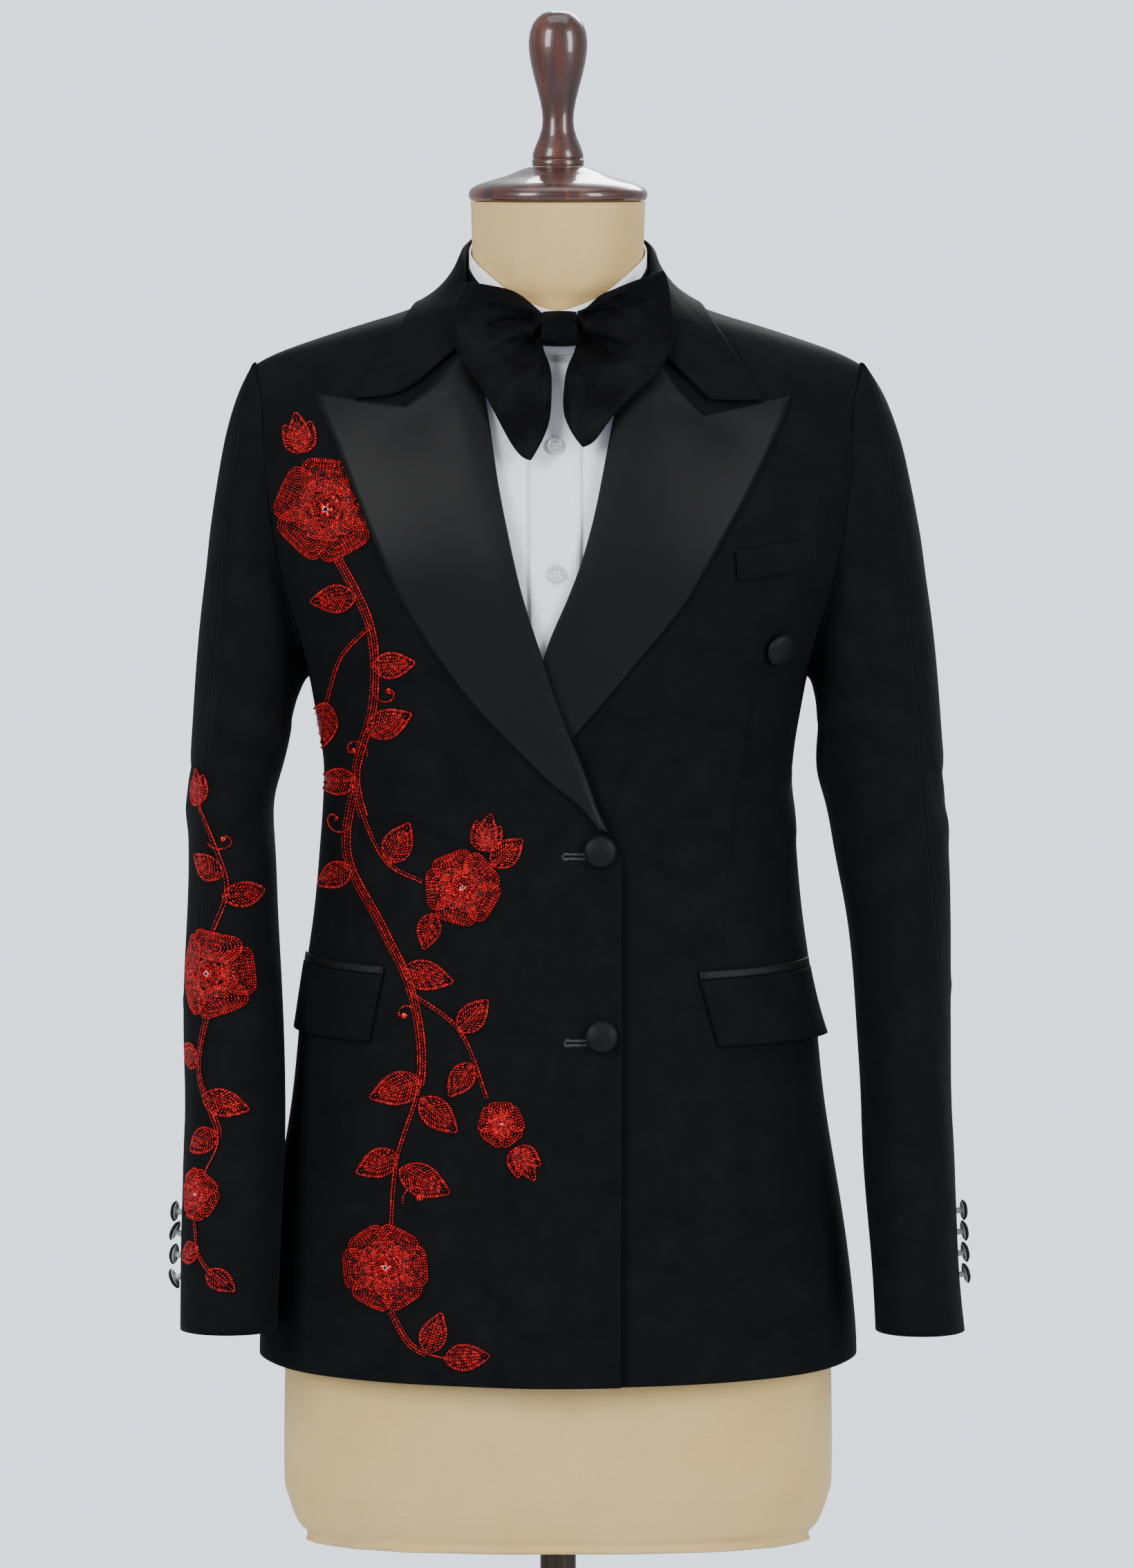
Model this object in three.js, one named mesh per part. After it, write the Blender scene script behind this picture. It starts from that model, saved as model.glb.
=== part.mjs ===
// A tuxedo jacket with its shirt front and bow tie, on a dress form with a stand.
// Millimetres, +Z up, the front faces -Y, the wearer's right side is at -X.
// The origin is the centre of the stand's base on the floor.
import * as THREE from 'three';

const clothWall = 1.6;
const seamGap = 0.3;
const sleeveSeamGap = 0.8;
const armpitZ = 1228;
const shoulderDrop = 200;
const neckPointX = 64;

const lerp = (from, to, t) => from + (to - from) * t;
const clamp = (value, low, high) => Math.min(high, Math.max(low, value));
const power = (value, exponent) => Math.sign(value) * Math.abs(value) ** exponent;
const degrees = Math.PI / 180;

function ease(from, to, value) {
  const t = clamp((value - from) / (to - from), 0, 1);
  return t * t * (3 - 2 * t);
}

// A column of a table, read at any value of its key column on a smooth curve.
function along(rows, key, value, name) {
  const last = rows.length - 1;
  if (value <= rows[0][key]) return rows[0][name];
  if (value >= rows[last][key]) return rows[last][name];
  let i = 0;
  while (rows[i + 1][key] < value) i += 1;
  const slope = (k) => {
    const before = rows[Math.max(k - 1, 0)];
    const after = rows[Math.min(k + 1, last)];
    return (after[name] - before[name]) / (after[key] - before[key]);
  };
  const width = rows[i + 1][key] - rows[i][key];
  const t = (value - rows[i][key]) / width;
  const t2 = t * t;
  const t3 = t2 * t;
  return (2 * t3 - 3 * t2 + 1) * rows[i][name] + (t3 - 2 * t2 + t) * width * slope(i)
    + (3 * t2 - 2 * t3) * rows[i + 1][name] + (t3 - t2) * width * slope(i + 1);
}

// A path read from a table, from 0 at its first row to 1 at its last, by row number.
function onPath(rows, t, names) {
  const numbered = rows.map((row, i) => ({ ...row, row: i }));
  return names.map((name) => along(numbered, 'row', t * (rows.length - 1), name));
}

// The jacket's outside as horizontal sections.

const bodyRows = [
  { z: 735, half: 205, front: 122, back: 127, power: 2.35 },
  { z: 791, half: 203, front: 121, back: 126, power: 2.35 },
  { z: 838, half: 198, front: 119, back: 123, power: 2.35 },
  { z: 885, half: 191, front: 117, back: 120, power: 2.35 },
  { z: 932, half: 182.6, front: 114, back: 116, power: 2.35 },
  { z: 979, half: 178, front: 111, back: 111, power: 2.35 },
  { z: 1026, half: 173, front: 107, back: 105, power: 2.4 },
  { z: 1073, half: 166, front: 103, back: 99, power: 2.4 },
  { z: 1120, half: 162, front: 101, back: 95, power: 2.4 },
  { z: 1160, half: 159.5, front: 102, back: 94, power: 2.4 },
  { z: 1200, half: 164, front: 106, back: 98, power: 2.45 },
  { z: 1236, half: 171, front: 110, back: 104, power: 2.5 },
  { z: 1262, half: 182, front: 113, back: 108, power: 2.5 },
  { z: 1303, half: 198, front: 116, back: 112, power: 2.6 },
  { z: 1329, half: 204, front: 117, back: 114, power: 2.6 },
  { z: 1372, half: 209, front: 117, back: 114, power: 2.6 },
  { z: 1441, half: 216, front: 115, back: 112, power: 2.6 },
  { z: 1540, half: 218, front: 115, back: 110, power: 2.6 },
];

const shoulderRows = [
  { x: 64, z: 1494 }, { x: 80, z: 1487 }, { x: 100, z: 1479 }, { x: 136, z: 1468 },
  { x: 171, z: 1456.5 }, { x: 190, z: 1449.5 }, { x: 206, z: 1441 }, { x: 218, z: 1430 },
  { x: 240, z: 1400 },
];

const frontNeckZ = 1480;
const backNeckZ = 1525;

// Height at which the front (side -1) or back (side 1) closes over the shoulder.
function closingZ(x, side) {
  const across = Math.abs(x);
  if (across >= neckPointX) return along(shoulderRows, 'x', across, 'z');
  const centre = side < 0 ? frontNeckZ : backNeckZ;
  return lerp(centre, shoulderRows[0].z, (across / neckPointX) ** 2);
}

const halfAt = (z) => along(bodyRows, 'z', z, 'half');
const powerAt = (z) => along(bodyRows, 'z', z, 'power');
const reachAt = (z, side) => along(bodyRows, 'z', z, side < 0 ? 'front' : 'back');

function capSquared(x, z, side) {
  const u = (closingZ(x, side) - z) / shoulderDrop;
  return u >= 1 ? 1 : 2 * u - u * u;
}

function depthAt(x, z, side) {
  const flat = 1 - (Math.abs(x) / halfAt(z)) ** powerAt(z);
  if (flat <= 0) return 0;
  return reachAt(z, side) * Math.sqrt(Math.max(0, capSquared(x, z, side))) * flat ** (1 / powerAt(z));
}

// Zero on the surface, more outside it.
function field(x, y, z) {
  const side = y < 0 ? -1 : 1;
  const plan = power(1 - (Math.abs(x) / halfAt(z)) ** powerAt(z), 2 / powerAt(z));
  return (y / reachAt(z, side)) ** 2 - capSquared(x, z, side) * plan;
}

function gradientAt(point) {
  const step = 0.3;
  const slope = (axis) => {
    const more = point.clone();
    const less = point.clone();
    more[axis] += step;
    less[axis] -= step;
    return (field(more.x, more.y, more.z) - field(less.x, less.y, less.z)) / (2 * step);
  };
  return new THREE.Vector3(slope('x'), slope('y'), slope('z'));
}

const normalAt = (point) => gradientAt(point).normalize();

// Point of the section at height z, at an angle round from the front centre to the wearer's left.
function ringPoint(angle, z) {
  const exponent = 2 / powerAt(z);
  const side = Math.cos(angle * degrees) > 0 ? -1 : 1;
  const x = halfAt(z) * power(Math.sin(angle * degrees), exponent);
  const cap = Math.sqrt(Math.max(0, capSquared(x, z, side)));
  const reach = reachAt(z, side) * cap;
  return new THREE.Vector3(x, side * reach * Math.abs(Math.cos(angle * degrees)) ** exponent, z);
}

function angleOf(x, z, side) {
  const ratio = clamp(Math.abs(x) / halfAt(z), 0, 1) ** (powerAt(z) / 2);
  const angle = Math.asin(ratio) / degrees;
  return Math.sign(x) * (side < 0 ? angle : 180 - angle);
}

// Soft folds of the jacket, a row for each, in the front or back view.

const foldRows = [
  { side: -1, x: 96, z: 1178, long: 62, wide: 13, turn: 38, rise: 2.2 },
  { side: -1, x: 70, z: 1150, long: 48, wide: 10, turn: 30, rise: 1.5 },
  { side: -1, x: -88, z: 1170, long: 55, wide: 13, turn: 142, rise: 1.6 },
  { side: -1, x: 110, z: 860, long: 70, wide: 24, turn: 84, rise: 2 },
  { side: -1, x: -95, z: 850, long: 80, wide: 26, turn: 95, rise: 2.2 },
  { side: 1, x: 90, z: 1190, long: 60, wide: 15, turn: 32, rise: 1.8 },
  { side: 1, x: -84, z: 1204, long: 52, wide: 14, turn: 150, rise: 1.7 },
  { side: 1, x: 60, z: 860, long: 85, wide: 25, turn: 88, rise: 2.2 },
  { side: 1, x: -72, z: 850, long: 75, wide: 24, turn: 94, rise: 2 },
];

function foldRise(point) {
  let rise = 0;
  for (const fold of foldRows) {
    const dx = point.x - fold.x;
    const dz = point.z - fold.z;
    const cos = Math.cos(fold.turn * degrees);
    const sin = Math.sin(fold.turn * degrees);
    const far = ((dx * cos + dz * sin) / fold.long) ** 2 + ((dz * cos - dx * sin) / fold.wide) ** 2;
    const facing = ease(0, 30, point.y * fold.side);
    rise += fold.rise * facing * Math.exp(-far);
  }
  return rise;
}

// The right front laps over the left one, so it stands out by the cloth under it.
const lapRise = 5;
function lapAt(point) {
  return point.y < 0 ? lapRise * ease(-78, -20, point.x) * (1 - ease(1310, 1420, point.z)) : 0;
}

function lifted(point, out, laps) {
  const rise = out + foldRise(point) + (laps ? lapAt(point) : 0);
  return point.clone().addScaledVector(normalAt(point), rise);
}

// Closed walls from grids of points.

function closedWall(outer, inner, loops = false, crossed = 0) {
  const rows = outer.length;
  const columns = outer[0].length;
  const positions = [];
  const number = new Map();
  const faces = [];
  const vertex = (p) => {
    const key = `${p.x.toFixed(4)},${p.y.toFixed(4)},${p.z.toFixed(4)}`;
    if (!number.has(key)) {
      number.set(key, positions.length / 3);
      positions.push(p.x, p.y, p.z);
    }
    return number.get(key);
  };
  const triangle = (a, b, c) => {
    if (a !== b && b !== c && a !== c) faces.push(a, b, c);
  };
  const quad = (a, b, c, d, other = false) => {
    const [ia, ib, ic, id] = [a, b, c, d].map(vertex);
    triangle(ia, ib, other ? id : ic);
    triangle(other ? ib : ia, ic, id);
  };
  const spans = loops ? columns : columns - 1;
  for (let r = 0; r < rows - 1; r += 1) {
    for (let c = 0; c < spans; c += 1) {
      const next = (c + 1) % columns;
      const other = c < crossed;
      quad(outer[r][c], outer[r][next], outer[r + 1][next], outer[r + 1][c], other);
      quad(inner[r][c], inner[r + 1][c], inner[r + 1][next], inner[r][next], other);
    }
  }
  for (let c = 0; c < spans; c += 1) {
    const next = (c + 1) % columns;
    quad(outer[0][next], outer[0][c], inner[0][c], inner[0][next]);
    quad(outer[rows - 1][c], outer[rows - 1][next], inner[rows - 1][next], inner[rows - 1][c]);
  }
  if (!loops) {
    const end = columns - 1;
    for (let r = 0; r < rows - 1; r += 1) {
      quad(outer[r][0], outer[r + 1][0], inner[r + 1][0], inner[r][0]);
      quad(outer[r + 1][end], outer[r][end], inner[r][end], inner[r + 1][end]);
    }
  }
  return facingOut(positions, faces);
}

function facingOut(positions, faces) {
  let volume = 0;
  const at = (i) => new THREE.Vector3().fromArray(positions, i * 3);
  for (let i = 0; i < faces.length; i += 3) {
    volume += at(faces[i]).dot(at(faces[i + 1]).cross(at(faces[i + 2])));
  }
  const index = volume > 0 ? faces : faces.slice().reverse();
  const geometry = new THREE.BufferGeometry();
  geometry.setAttribute('position', new THREE.Float32BufferAttribute(positions, 3));
  geometry.setIndex(index);
  return geometry;
}

// A solid from a stack of closed rings, with a flat end at the first and last.
function stackedRings(rings) {
  const positions = [];
  const faces = [];
  const count = rings[0].length;
  rings.forEach((ring) => ring.forEach((p) => positions.push(p.x, p.y, p.z)));
  for (let r = 0; r < rings.length - 1; r += 1) {
    for (let c = 0; c < count; c += 1) {
      const next = (c + 1) % count;
      const a = r * count + c;
      const b = r * count + next;
      faces.push(a, b, b + count, a, b + count, a + count);
    }
  }
  for (const r of [0, rings.length - 1]) {
    const middle = new THREE.Vector3();
    rings[r].forEach((p) => middle.addScaledVector(p, 1 / count));
    const hub = positions.length / 3;
    positions.push(middle.x, middle.y, middle.z);
    for (let c = 0; c < count; c += 1) {
      const a = r * count + c;
      const b = r * count + ((c + 1) % count);
      if (r === 0) faces.push(b, a, hub);
      else faces.push(a, b, hub);
    }
  }
  return facingOut(positions, faces);
}

// A turned solid about a vertical axis, from rows of radius and height.
function turned(rows, segments) {
  return stackedRings(rows.map((row) => {
    const ring = [];
    for (let k = 0; k < segments; k += 1) {
      const angle = (k / segments) * 2 * Math.PI;
      ring.push(new THREE.Vector3(row.radius * Math.cos(angle), row.radius * Math.sin(angle), row.z));
    }
    return ring;
  }));
}

const group = new THREE.Group();
group.name = 'tuxedo_on_dress_form';

function add(name, geometry, colour, roughness = 0.8, metalness = 0) {
  const material = new THREE.MeshStandardMaterial({ color: colour, roughness, metalness });
  const mesh = new THREE.Mesh(geometry, material);
  mesh.name = name;
  group.add(mesh);
}

const colours = {
  wool: 0x1a1b1d, satin: 0x38383a, velvet: 0x0c0c0d, shirt: 0xe8e9f0, linen: 0xbea882,
  wood: 0x4a1f14, pole: 0x2a2725, pearl: 0xf2f1ea,
};

// Jacket panels.

// The armhole as seen from the side, round from the armpit by the front to the shoulder and the back.
const armholeRows = [
  { angle: -90, y: 10, z: 1228 }, { angle: -70, y: -16, z: 1233 }, { angle: -50, y: -34, z: 1250 },
  { angle: -30, y: -46, z: 1275 }, { angle: -10, y: -51, z: 1303 }, { angle: 10, y: -50, z: 1330 },
  { angle: 30, y: -44, z: 1362 }, { angle: 50, y: -36, z: 1396 }, { angle: 70, y: -24, z: 1425 },
  { angle: 90, y: 0, z: 1442 }, { angle: 110, y: 23.5, z: 1424 }, { angle: 130, y: 38, z: 1394 },
  { angle: 150, y: 52, z: 1358 }, { angle: 170, y: 59, z: 1322 }, { angle: 190, y: 60, z: 1296 },
  { angle: 210, y: 55, z: 1270 }, { angle: 230, y: 44, z: 1249 }, { angle: 250, y: 28, z: 1235 },
  { angle: 270, y: 10, z: 1228 },
];

function acrossAt(y, z) {
  const side = y < 0 ? -1 : 1;
  let low = 100;
  let high = halfAt(z);
  if (z > 1425.5) high = 204.4;
  if (depthAt(high, z, side) >= Math.abs(y)) return high;
  for (let k = 0; k < 40; k += 1) {
    const middle = (low + high) / 2;
    if (depthAt(middle, z, side) > Math.abs(y)) low = middle;
    else high = middle;
  }
  return low;
}

function armholePoint(angle, hand) {
  const y = along(armholeRows, 'angle', angle, 'y');
  const z = along(armholeRows, 'angle', angle, 'z');
  return new THREE.Vector3(hand * acrossAt(y, z), y, z);
}

// The hem, by the angle round from the front centre.
const hemRows = [
  { angle: 0, z: 756 }, { angle: 25, z: 758 }, { angle: 55, z: 762 }, { angle: 90, z: 769 },
  { angle: 130, z: 765 }, { angle: 180, z: 762 },
];
const hemAt = (angle) => along(hemRows, 'angle', Math.abs(angle), 'z');

// The inner edge of each front: the front edge below, the roll line of the lapel above.
const rightEdgeRows = [
  { z: 740, x: 42 }, { z: 1106, x: 42 }, { z: 1122, x: 38.5 }, { z: 1138, x: 29 }, { z: 1170, x: 18 },
  { z: 1205, x: 4 }, { z: 1253, x: -12 }, { z: 1306, x: -28 }, { z: 1354, x: -38 }, { z: 1396, x: -45 },
  { z: 1434, x: -52.5 }, { z: 1466, x: -60 }, { z: 1494, x: -66 },
];
const leftEdgeRows = [
  { z: 740, x: -12 }, { z: 1224, x: -12 }, { z: 1249, x: -9 }, { z: 1274, x: 1 }, { z: 1309, x: 15 },
  { z: 1359, x: 28 }, { z: 1404, x: 37 }, { z: 1434, x: 46 }, { z: 1450, x: 52 }, { z: 1470, x: 60 },
  { z: 1494, x: 66 },
];
const rollSetBack = 3.4;

const lowerSteps = [0, 0.05, 0.16, 0.28, 0.4, 0.53, 0.65, 0.755, 0.79, 0.87, 0.94, 1];
const shirtSteps = [0, 0.25, 0.5, 0.75, 1];
const upperSteps = [0.08, 0.19, 0.31, 0.43, 0.55, 0.66, 0.76, 0.85, 0.925, 0.975, 1];
const sideSeamY = 10;

// One side of the body as a grid of surface points: from the inner edge to the side seam and armhole.
function panelGrid(cut) {
  const grid = [];
  const { side, hand, columns, innerX, topInner, topZ, sideShift, shareOf = (s) => s } = cut;
  const seamAngle = (z) => {
    const seam = angleOf(hand * acrossAt(sideSeamY, z), z, 1);
    return seam + hand * sideShift;
  };
  for (const step of cut.steps ?? lowerSteps) {
    const row = [];
    const innerZ = lerp(cut.bottomZ ?? hemAt(side < 0 ? 0 : 180), armpitZ, step);
    const from = side < 0 ? angleOf(innerX(innerZ), innerZ, -1) : hand * (180 - cut.centreGap);
    for (let c = 0; c <= columns; c += 1) {
      const share = shareOf(c / columns);
      const to = seamAngle(innerZ);
      const angle = lerp(from, to, share);
      const z = lerp(cut.bottomZ ?? hemAt(angle), armpitZ, step);
      row.push(ringPoint(angle, z));
    }
    grid.push(row);
  }
  for (const step of upperSteps) {
    const row = [];
    const innerZ = lerp(armpitZ, topInner, step);
    const armAngle = side < 0 ? -90 + 180 * step : 270 - 180 * step;
    const arm = armholePoint(armAngle, hand);
    const atTop = Math.abs(arm.y) < 0.01;
    const armSide = atTop ? side : Math.sign(arm.y);
    const from = side < 0 ? angleOf(innerX(innerZ), innerZ, -1) : hand * (180 - cut.centreGap);
    const to = angleOf(arm.x, arm.z, armSide) + (armSide === side ? hand * sideShift * (1 - step) : 0);
    for (let c = 0; c <= columns; c += 1) {
      const whole = shareOf(c / columns);
      const share = whole - (cut.armTrim ?? 0) * whole ** 4 * ease(0, 0.3, step);
      const angle = lerp(from, to, share);
      const ruled = lerp(innerZ, arm.z, share);
      const x = halfAt(ruled) * power(Math.sin(angle * degrees), 2 / powerAt(ruled));
      const z = ruled + step ** 6 * (topZ(x) - lerp(topInner, armholePoint(90, hand).z, share));
      const point = ringPoint(angle, z);
      if (step === 1 && Math.abs(x) >= neckPointX) point.y = 0;
      row.push(point);
    }
    grid.push(row);
  }
  return grid;
}

function panel(name, cut, outSet, wall, colour) {
  const grid = panelGrid(cut);
  const outer = grid.map((row) => row.map((p) => lifted(p, outSet(p), cut.laps)));
  const inner = grid.map((row) => row.map((p) => lifted(p, outSet(p) - wall, cut.laps)));
  if (cut.shoulderGap) {
    for (const sheet of [outer, inner]) {
      sheet[sheet.length - 1].forEach((p) => {
        if (Math.abs(p.x) > neckPointX - 3) p.y += cut.side * cut.shoulderGap;
      });
    }
  }
  add(name, closedWall(outer, inner), colour);
}

const rightEdge = (z) => along(rightEdgeRows, 'z', z, 'x') - rollSetBack * ease(1112, 1128, z);
const leftEdge = (z) => along(leftEdgeRows, 'z', z, 'x') + rollSetBack * ease(1160, 1176, z);
const ridgeZ = (x) => closingZ(Math.max(Math.abs(x), neckPointX), -1);
const backTopZ = (x) => {
  const across = Math.abs(x);
  return across < neckPointX ? lerp(1488, 1494, (across / neckPointX) ** 2) : closingZ(across, 1);
};
const onSurface = () => 0;

// Where the columns of a panel fall between the centre and the armhole when it reaches the neck.
const neckShares = [0, 0.05, 0.118, 0.172, 0.25, 0.37, 0.52, 0.69, 0.85, 1];
const neckShare = (s) => neckShares[Math.round(s * (neckShares.length - 1))];

const frontCut = {
  side: -1, columns: 12, topInner: 1494, topZ: ridgeZ, sideShift: -0.1, shoulderGap: seamGap / 2,
  shareOf: (s) => s ** 1.25,
};
const backCut = {
  side: 1, columns: 9, topInner: 1488, topZ: backTopZ, sideShift: 0.1, centreGap: 0.012,
  shoulderGap: seamGap / 2, shareOf: neckShare,
};

panel('front_right', { ...frontCut, hand: -1, innerX: rightEdge, laps: true }, onSurface, clothWall,
  colours.wool);
panel('front_left', { ...frontCut, hand: 1, innerX: leftEdge }, onSurface, clothWall, colours.wool);
panel('back_right', { ...backCut, hand: -1 }, onSurface, clothWall, colours.wool);
panel('back_left', { ...backCut, hand: 1 }, onSurface, clothWall, colours.wool);

// Sleeves.

// Sections of the sleeves below the armpit: outer and inner are distances from the body's centre.
const rightSleeveRows = [
  { z: 1191, outer: 249, inner: 181, front: -66, back: 58 },
  { z: 1167, outer: 251, inner: 188, front: -66, back: 54 },
  { z: 1144, outer: 252, inner: 192.5, front: -66, back: 50 },
  { z: 1097, outer: 251, inner: 191.5, front: -68, back: 44 },
  { z: 1050, outer: 253, inner: 189, front: -74, back: 37 },
  { z: 1003, outer: 254.5, inner: 186.5, front: -81, back: 29 },
  { z: 956, outer: 253.5, inner: 185, front: -89, back: 20 },
  { z: 909, outer: 254, inner: 185, front: -97, back: 11 },
  { z: 862, outer: 255.5, inner: 187, front: -105, back: 2 },
  { z: 815, outer: 256, inner: 189, front: -112, back: -6 },
  { z: 791, outer: 256, inner: 190, front: -115, back: -10 },
];
const leftSleeveRows = [
  { z: 1191, outer: 261, inner: 175.5, front: -64, back: 58 },
  { z: 1167, outer: 263, inner: 176.5, front: -64, back: 55 },
  { z: 1144, outer: 263.5, inner: 181, front: -64, back: 52 },
  { z: 1097, outer: 266.5, inner: 191, front: -65, back: 47 },
  { z: 1050, outer: 267, inner: 198.5, front: -69, back: 42 },
  { z: 1003, outer: 267, inner: 202, front: -75, back: 36 },
  { z: 956, outer: 267.3, inner: 205, front: -81, back: 29 },
  { z: 909, outer: 269, inner: 206.6, front: -88, back: 21 },
  { z: 862, outer: 271, inner: 210, front: -95, back: 13 },
  { z: 815, outer: 273, inner: 214, front: -101, back: 6 },
  { z: 789, outer: 276, inner: 215, front: -104, back: 2 },
];
const fanSteps = [0, 0.07, 0.17, 0.3, 0.45, 0.62, 0.8];
const sleeveSteps = [0, 0.06, 0.12, 0.2, 0.3, 0.4, 0.5, 0.6, 0.7, 0.8, 0.9, 1];
const sleevePower = 2.15;
const bodyClear = 4.6;

// Soft folds across a sleeve, by height and angle round it, front 0 and outside 90.
const sleeveFoldRows = [
  { z: 1206, angle: -60, tall: 9, round: 46, lean: 0.25, rise: -2.6 },
  { z: 1180, angle: -55, tall: 9, round: 44, lean: 0.2, rise: 2.2 },
  { z: 1150, angle: -50, tall: 10, round: 42, lean: 0.2, rise: -2.2 },
  { z: 1118, angle: -45, tall: 11, round: 38, lean: 0.15, rise: 1.5 },
  { z: 1240, angle: 20, tall: 70, round: 11, lean: 0, rise: 1.8 },
  { z: 1060, angle: 12, tall: 120, round: 16, lean: 0, rise: 1.6 },
  { z: 1150, angle: 200, tall: 14, round: 40, lean: -0.2, rise: 1.8 },
  { z: 1105, angle: 214, tall: 12, round: 38, lean: -0.2, rise: -1.8 },
];

function sleeveRise(angle, z) {
  let rise = 0;
  for (const fold of sleeveFoldRows) {
    const turn = ((angle - fold.angle + 540) % 360) - 180;
    const up = z - fold.z - fold.lean * turn;
    rise += fold.rise * Math.exp(-((turn / fold.round) ** 2) - (up / fold.tall) ** 2);
  }
  return rise;
}

function sleeveSection(rows, angle, z, hand) {
  const outer = along(rows, 'z', z, 'outer');
  const inner = along(rows, 'z', z, 'inner');
  const front = along(rows, 'z', z, 'front');
  const back = along(rows, 'z', z, 'back');
  const sin = power(Math.sin(angle * degrees), 2 / sleevePower);
  const cos = power(Math.cos(angle * degrees), 2 / sleevePower);
  const rise = 1 + sleeveRise(angle, z) / 38;
  const x = (outer + inner) / 2 + ((outer - inner) / 2) * sin * rise;
  const y = (front + back) / 2 - ((back - front) / 2) * cos * rise;
  const body = acrossAt(y, z) + bodyClear;
  return new THREE.Vector3(hand * Math.max(x, body), y, z);
}

// The angle round the sleeve of its two seams, by height.
const hindSeamRows = [
  { z: 789, angle: 104 }, { z: 870, angle: 98 }, { z: 950, angle: 72 }, { z: 1072, angle: 40 },
  { z: 1200, angle: 36 }, { z: 1290, angle: 44 }, { z: 1441, angle: 90 },
];
const foreSeamAngle = -112;

function sleevePoint(rows, hand, angle, step, capReach) {
  const topZ = rows[0].z;
  const arm = armholePoint(((angle + 450) % 360) - 90, hand);
  arm.x += hand * sleeveSeamGap;
  const top = sleeveSection(rows, angle, topZ, hand);
  const up = Math.max(0, Math.sin(angle * degrees));
  const start = new THREE.Vector3(hand * lerp(16, capReach, up), 0, lerp(-8, 0, up));
  const drop = new THREE.Vector3(hand * 8 * up, 0, (topZ - arm.z) * lerp(0.95, 0.92, up));
  const s2 = step * step;
  const s3 = s2 * step;
  return new THREE.Vector3()
    .addScaledVector(arm, 2 * s3 - 3 * s2 + 1)
    .addScaledVector(start, s3 - 2 * s2 + step)
    .addScaledVector(top, 3 * s2 - 2 * s3)
    .addScaledVector(drop, s3 - s2);
}

// Height of a station: 0 at the armhole, 1 at the first level section, 2 at the cuff.
function stationZ(rows, station) {
  const last = rows[rows.length - 1].z;
  return station < 1 ? lerp(1441, rows[0].z, station) : lerp(rows[0].z, last, station - 1);
}

function sleeveAt(sleeve, angle, station) {
  return station < 1
    ? sleevePoint(sleeve.rows, sleeve.hand, angle, station, sleeve.reach)
    : sleeveSection(sleeve.rising, angle, stationZ(sleeve.rows, station), sleeve.hand);
}

function sleeveNormal(sleeve, angle, station) {
  const turn = 2;
  const step = 0.02;
  const round = sleeveAt(sleeve, angle + turn, station).sub(sleeveAt(sleeve, angle - turn, station));
  const down = sleeveAt(sleeve, angle, Math.min(station + step, 2))
    .sub(sleeveAt(sleeve, angle, Math.max(station - step, 0)));
  return down.cross(round).multiplyScalar(sleeve.hand).normalize();
}

function sleevePiece(name, sleeve, columns, fromOf, toOf) {
  const stations = [...fanSteps, ...sleeveSteps.map((step) => 1 + step)];
  const outer = [];
  const inner = [];
  for (const station of stations) {
    const z = stationZ(sleeve.rows, station);
    const outerLine = [];
    const innerLine = [];
    for (let c = 0; c <= columns; c += 1) {
      const angle = lerp(fromOf(z), toOf(z), c / columns);
      const point = sleeveAt(sleeve, angle, station);
      outerLine.push(point);
      innerLine.push(point.clone().addScaledVector(sleeveNormal(sleeve, angle, station), -clothWall));
    }
    outer.push(outerLine);
    inner.push(innerLine);
  }
  add(name, closedWall(outer, inner), colours.wool);
}

const seamTurn = 0.26;
for (const sleeve of [
  { hand: -1, word: 'right', rows: rightSleeveRows, reach: 60 },
  { hand: 1, word: 'left', rows: leftSleeveRows, reach: 80 },
]) {
  const hind = (z) => along(hindSeamRows, 'z', z, 'angle');
  sleeve.rising = sleeve.rows.slice().reverse();
  sleevePiece(`upper_sleeve_${sleeve.word}`, sleeve, 8,
    () => foreSeamAngle + seamTurn, (z) => hind(z) - seamTurn);
  sleevePiece(`under_sleeve_${sleeve.word}`, sleeve, 7,
    (z) => hind(z) + seamTurn, () => foreSeamAngle + 360 - seamTurn);
}

// Lapels, each from its roll line out to its edge, rows from the bottom up to the notch and peak.

const rightLapelRows = [
  { rollX: 33.5, rollZ: 1130, edgeX: 27, edgeZ: 1132, notch: 0 },
  { rollX: 26, rollZ: 1147, edgeX: 13, edgeZ: 1150, notch: 0 },
  { rollX: 18, rollZ: 1170, edgeX: -8, edgeZ: 1167, notch: 0 },
  { rollX: 11, rollZ: 1188, edgeX: -35, edgeZ: 1195, notch: 0 },
  { rollX: 4, rollZ: 1205, edgeX: -60, edgeZ: 1221, notch: 0 },
  { rollX: -5, rollZ: 1230, edgeX: -80, edgeZ: 1248, notch: 0 },
  { rollX: -12, rollZ: 1253, edgeX: -97, edgeZ: 1274, notch: 0 },
  { rollX: -21, rollZ: 1280, edgeX: -112, edgeZ: 1301, notch: 0 },
  { rollX: -28, rollZ: 1306, edgeX: -124, edgeZ: 1328, notch: 0 },
  { rollX: -34, rollZ: 1333, edgeX: -135, edgeZ: 1354, notch: 0.5 },
  { rollX: -39.5, rollZ: 1360, edgeX: -145, edgeZ: 1380, notch: 2 },
  { rollX: -44, rollZ: 1390, edgeX: -154, edgeZ: 1400, notch: 7 },
  { rollX: -49.5, rollZ: 1424, edgeX: -159.5, edgeZ: 1412.5, notch: 16 },
  { rollX: -55, rollZ: 1457, edgeX: -163, edgeZ: 1422, notch: 28 },
];
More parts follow.
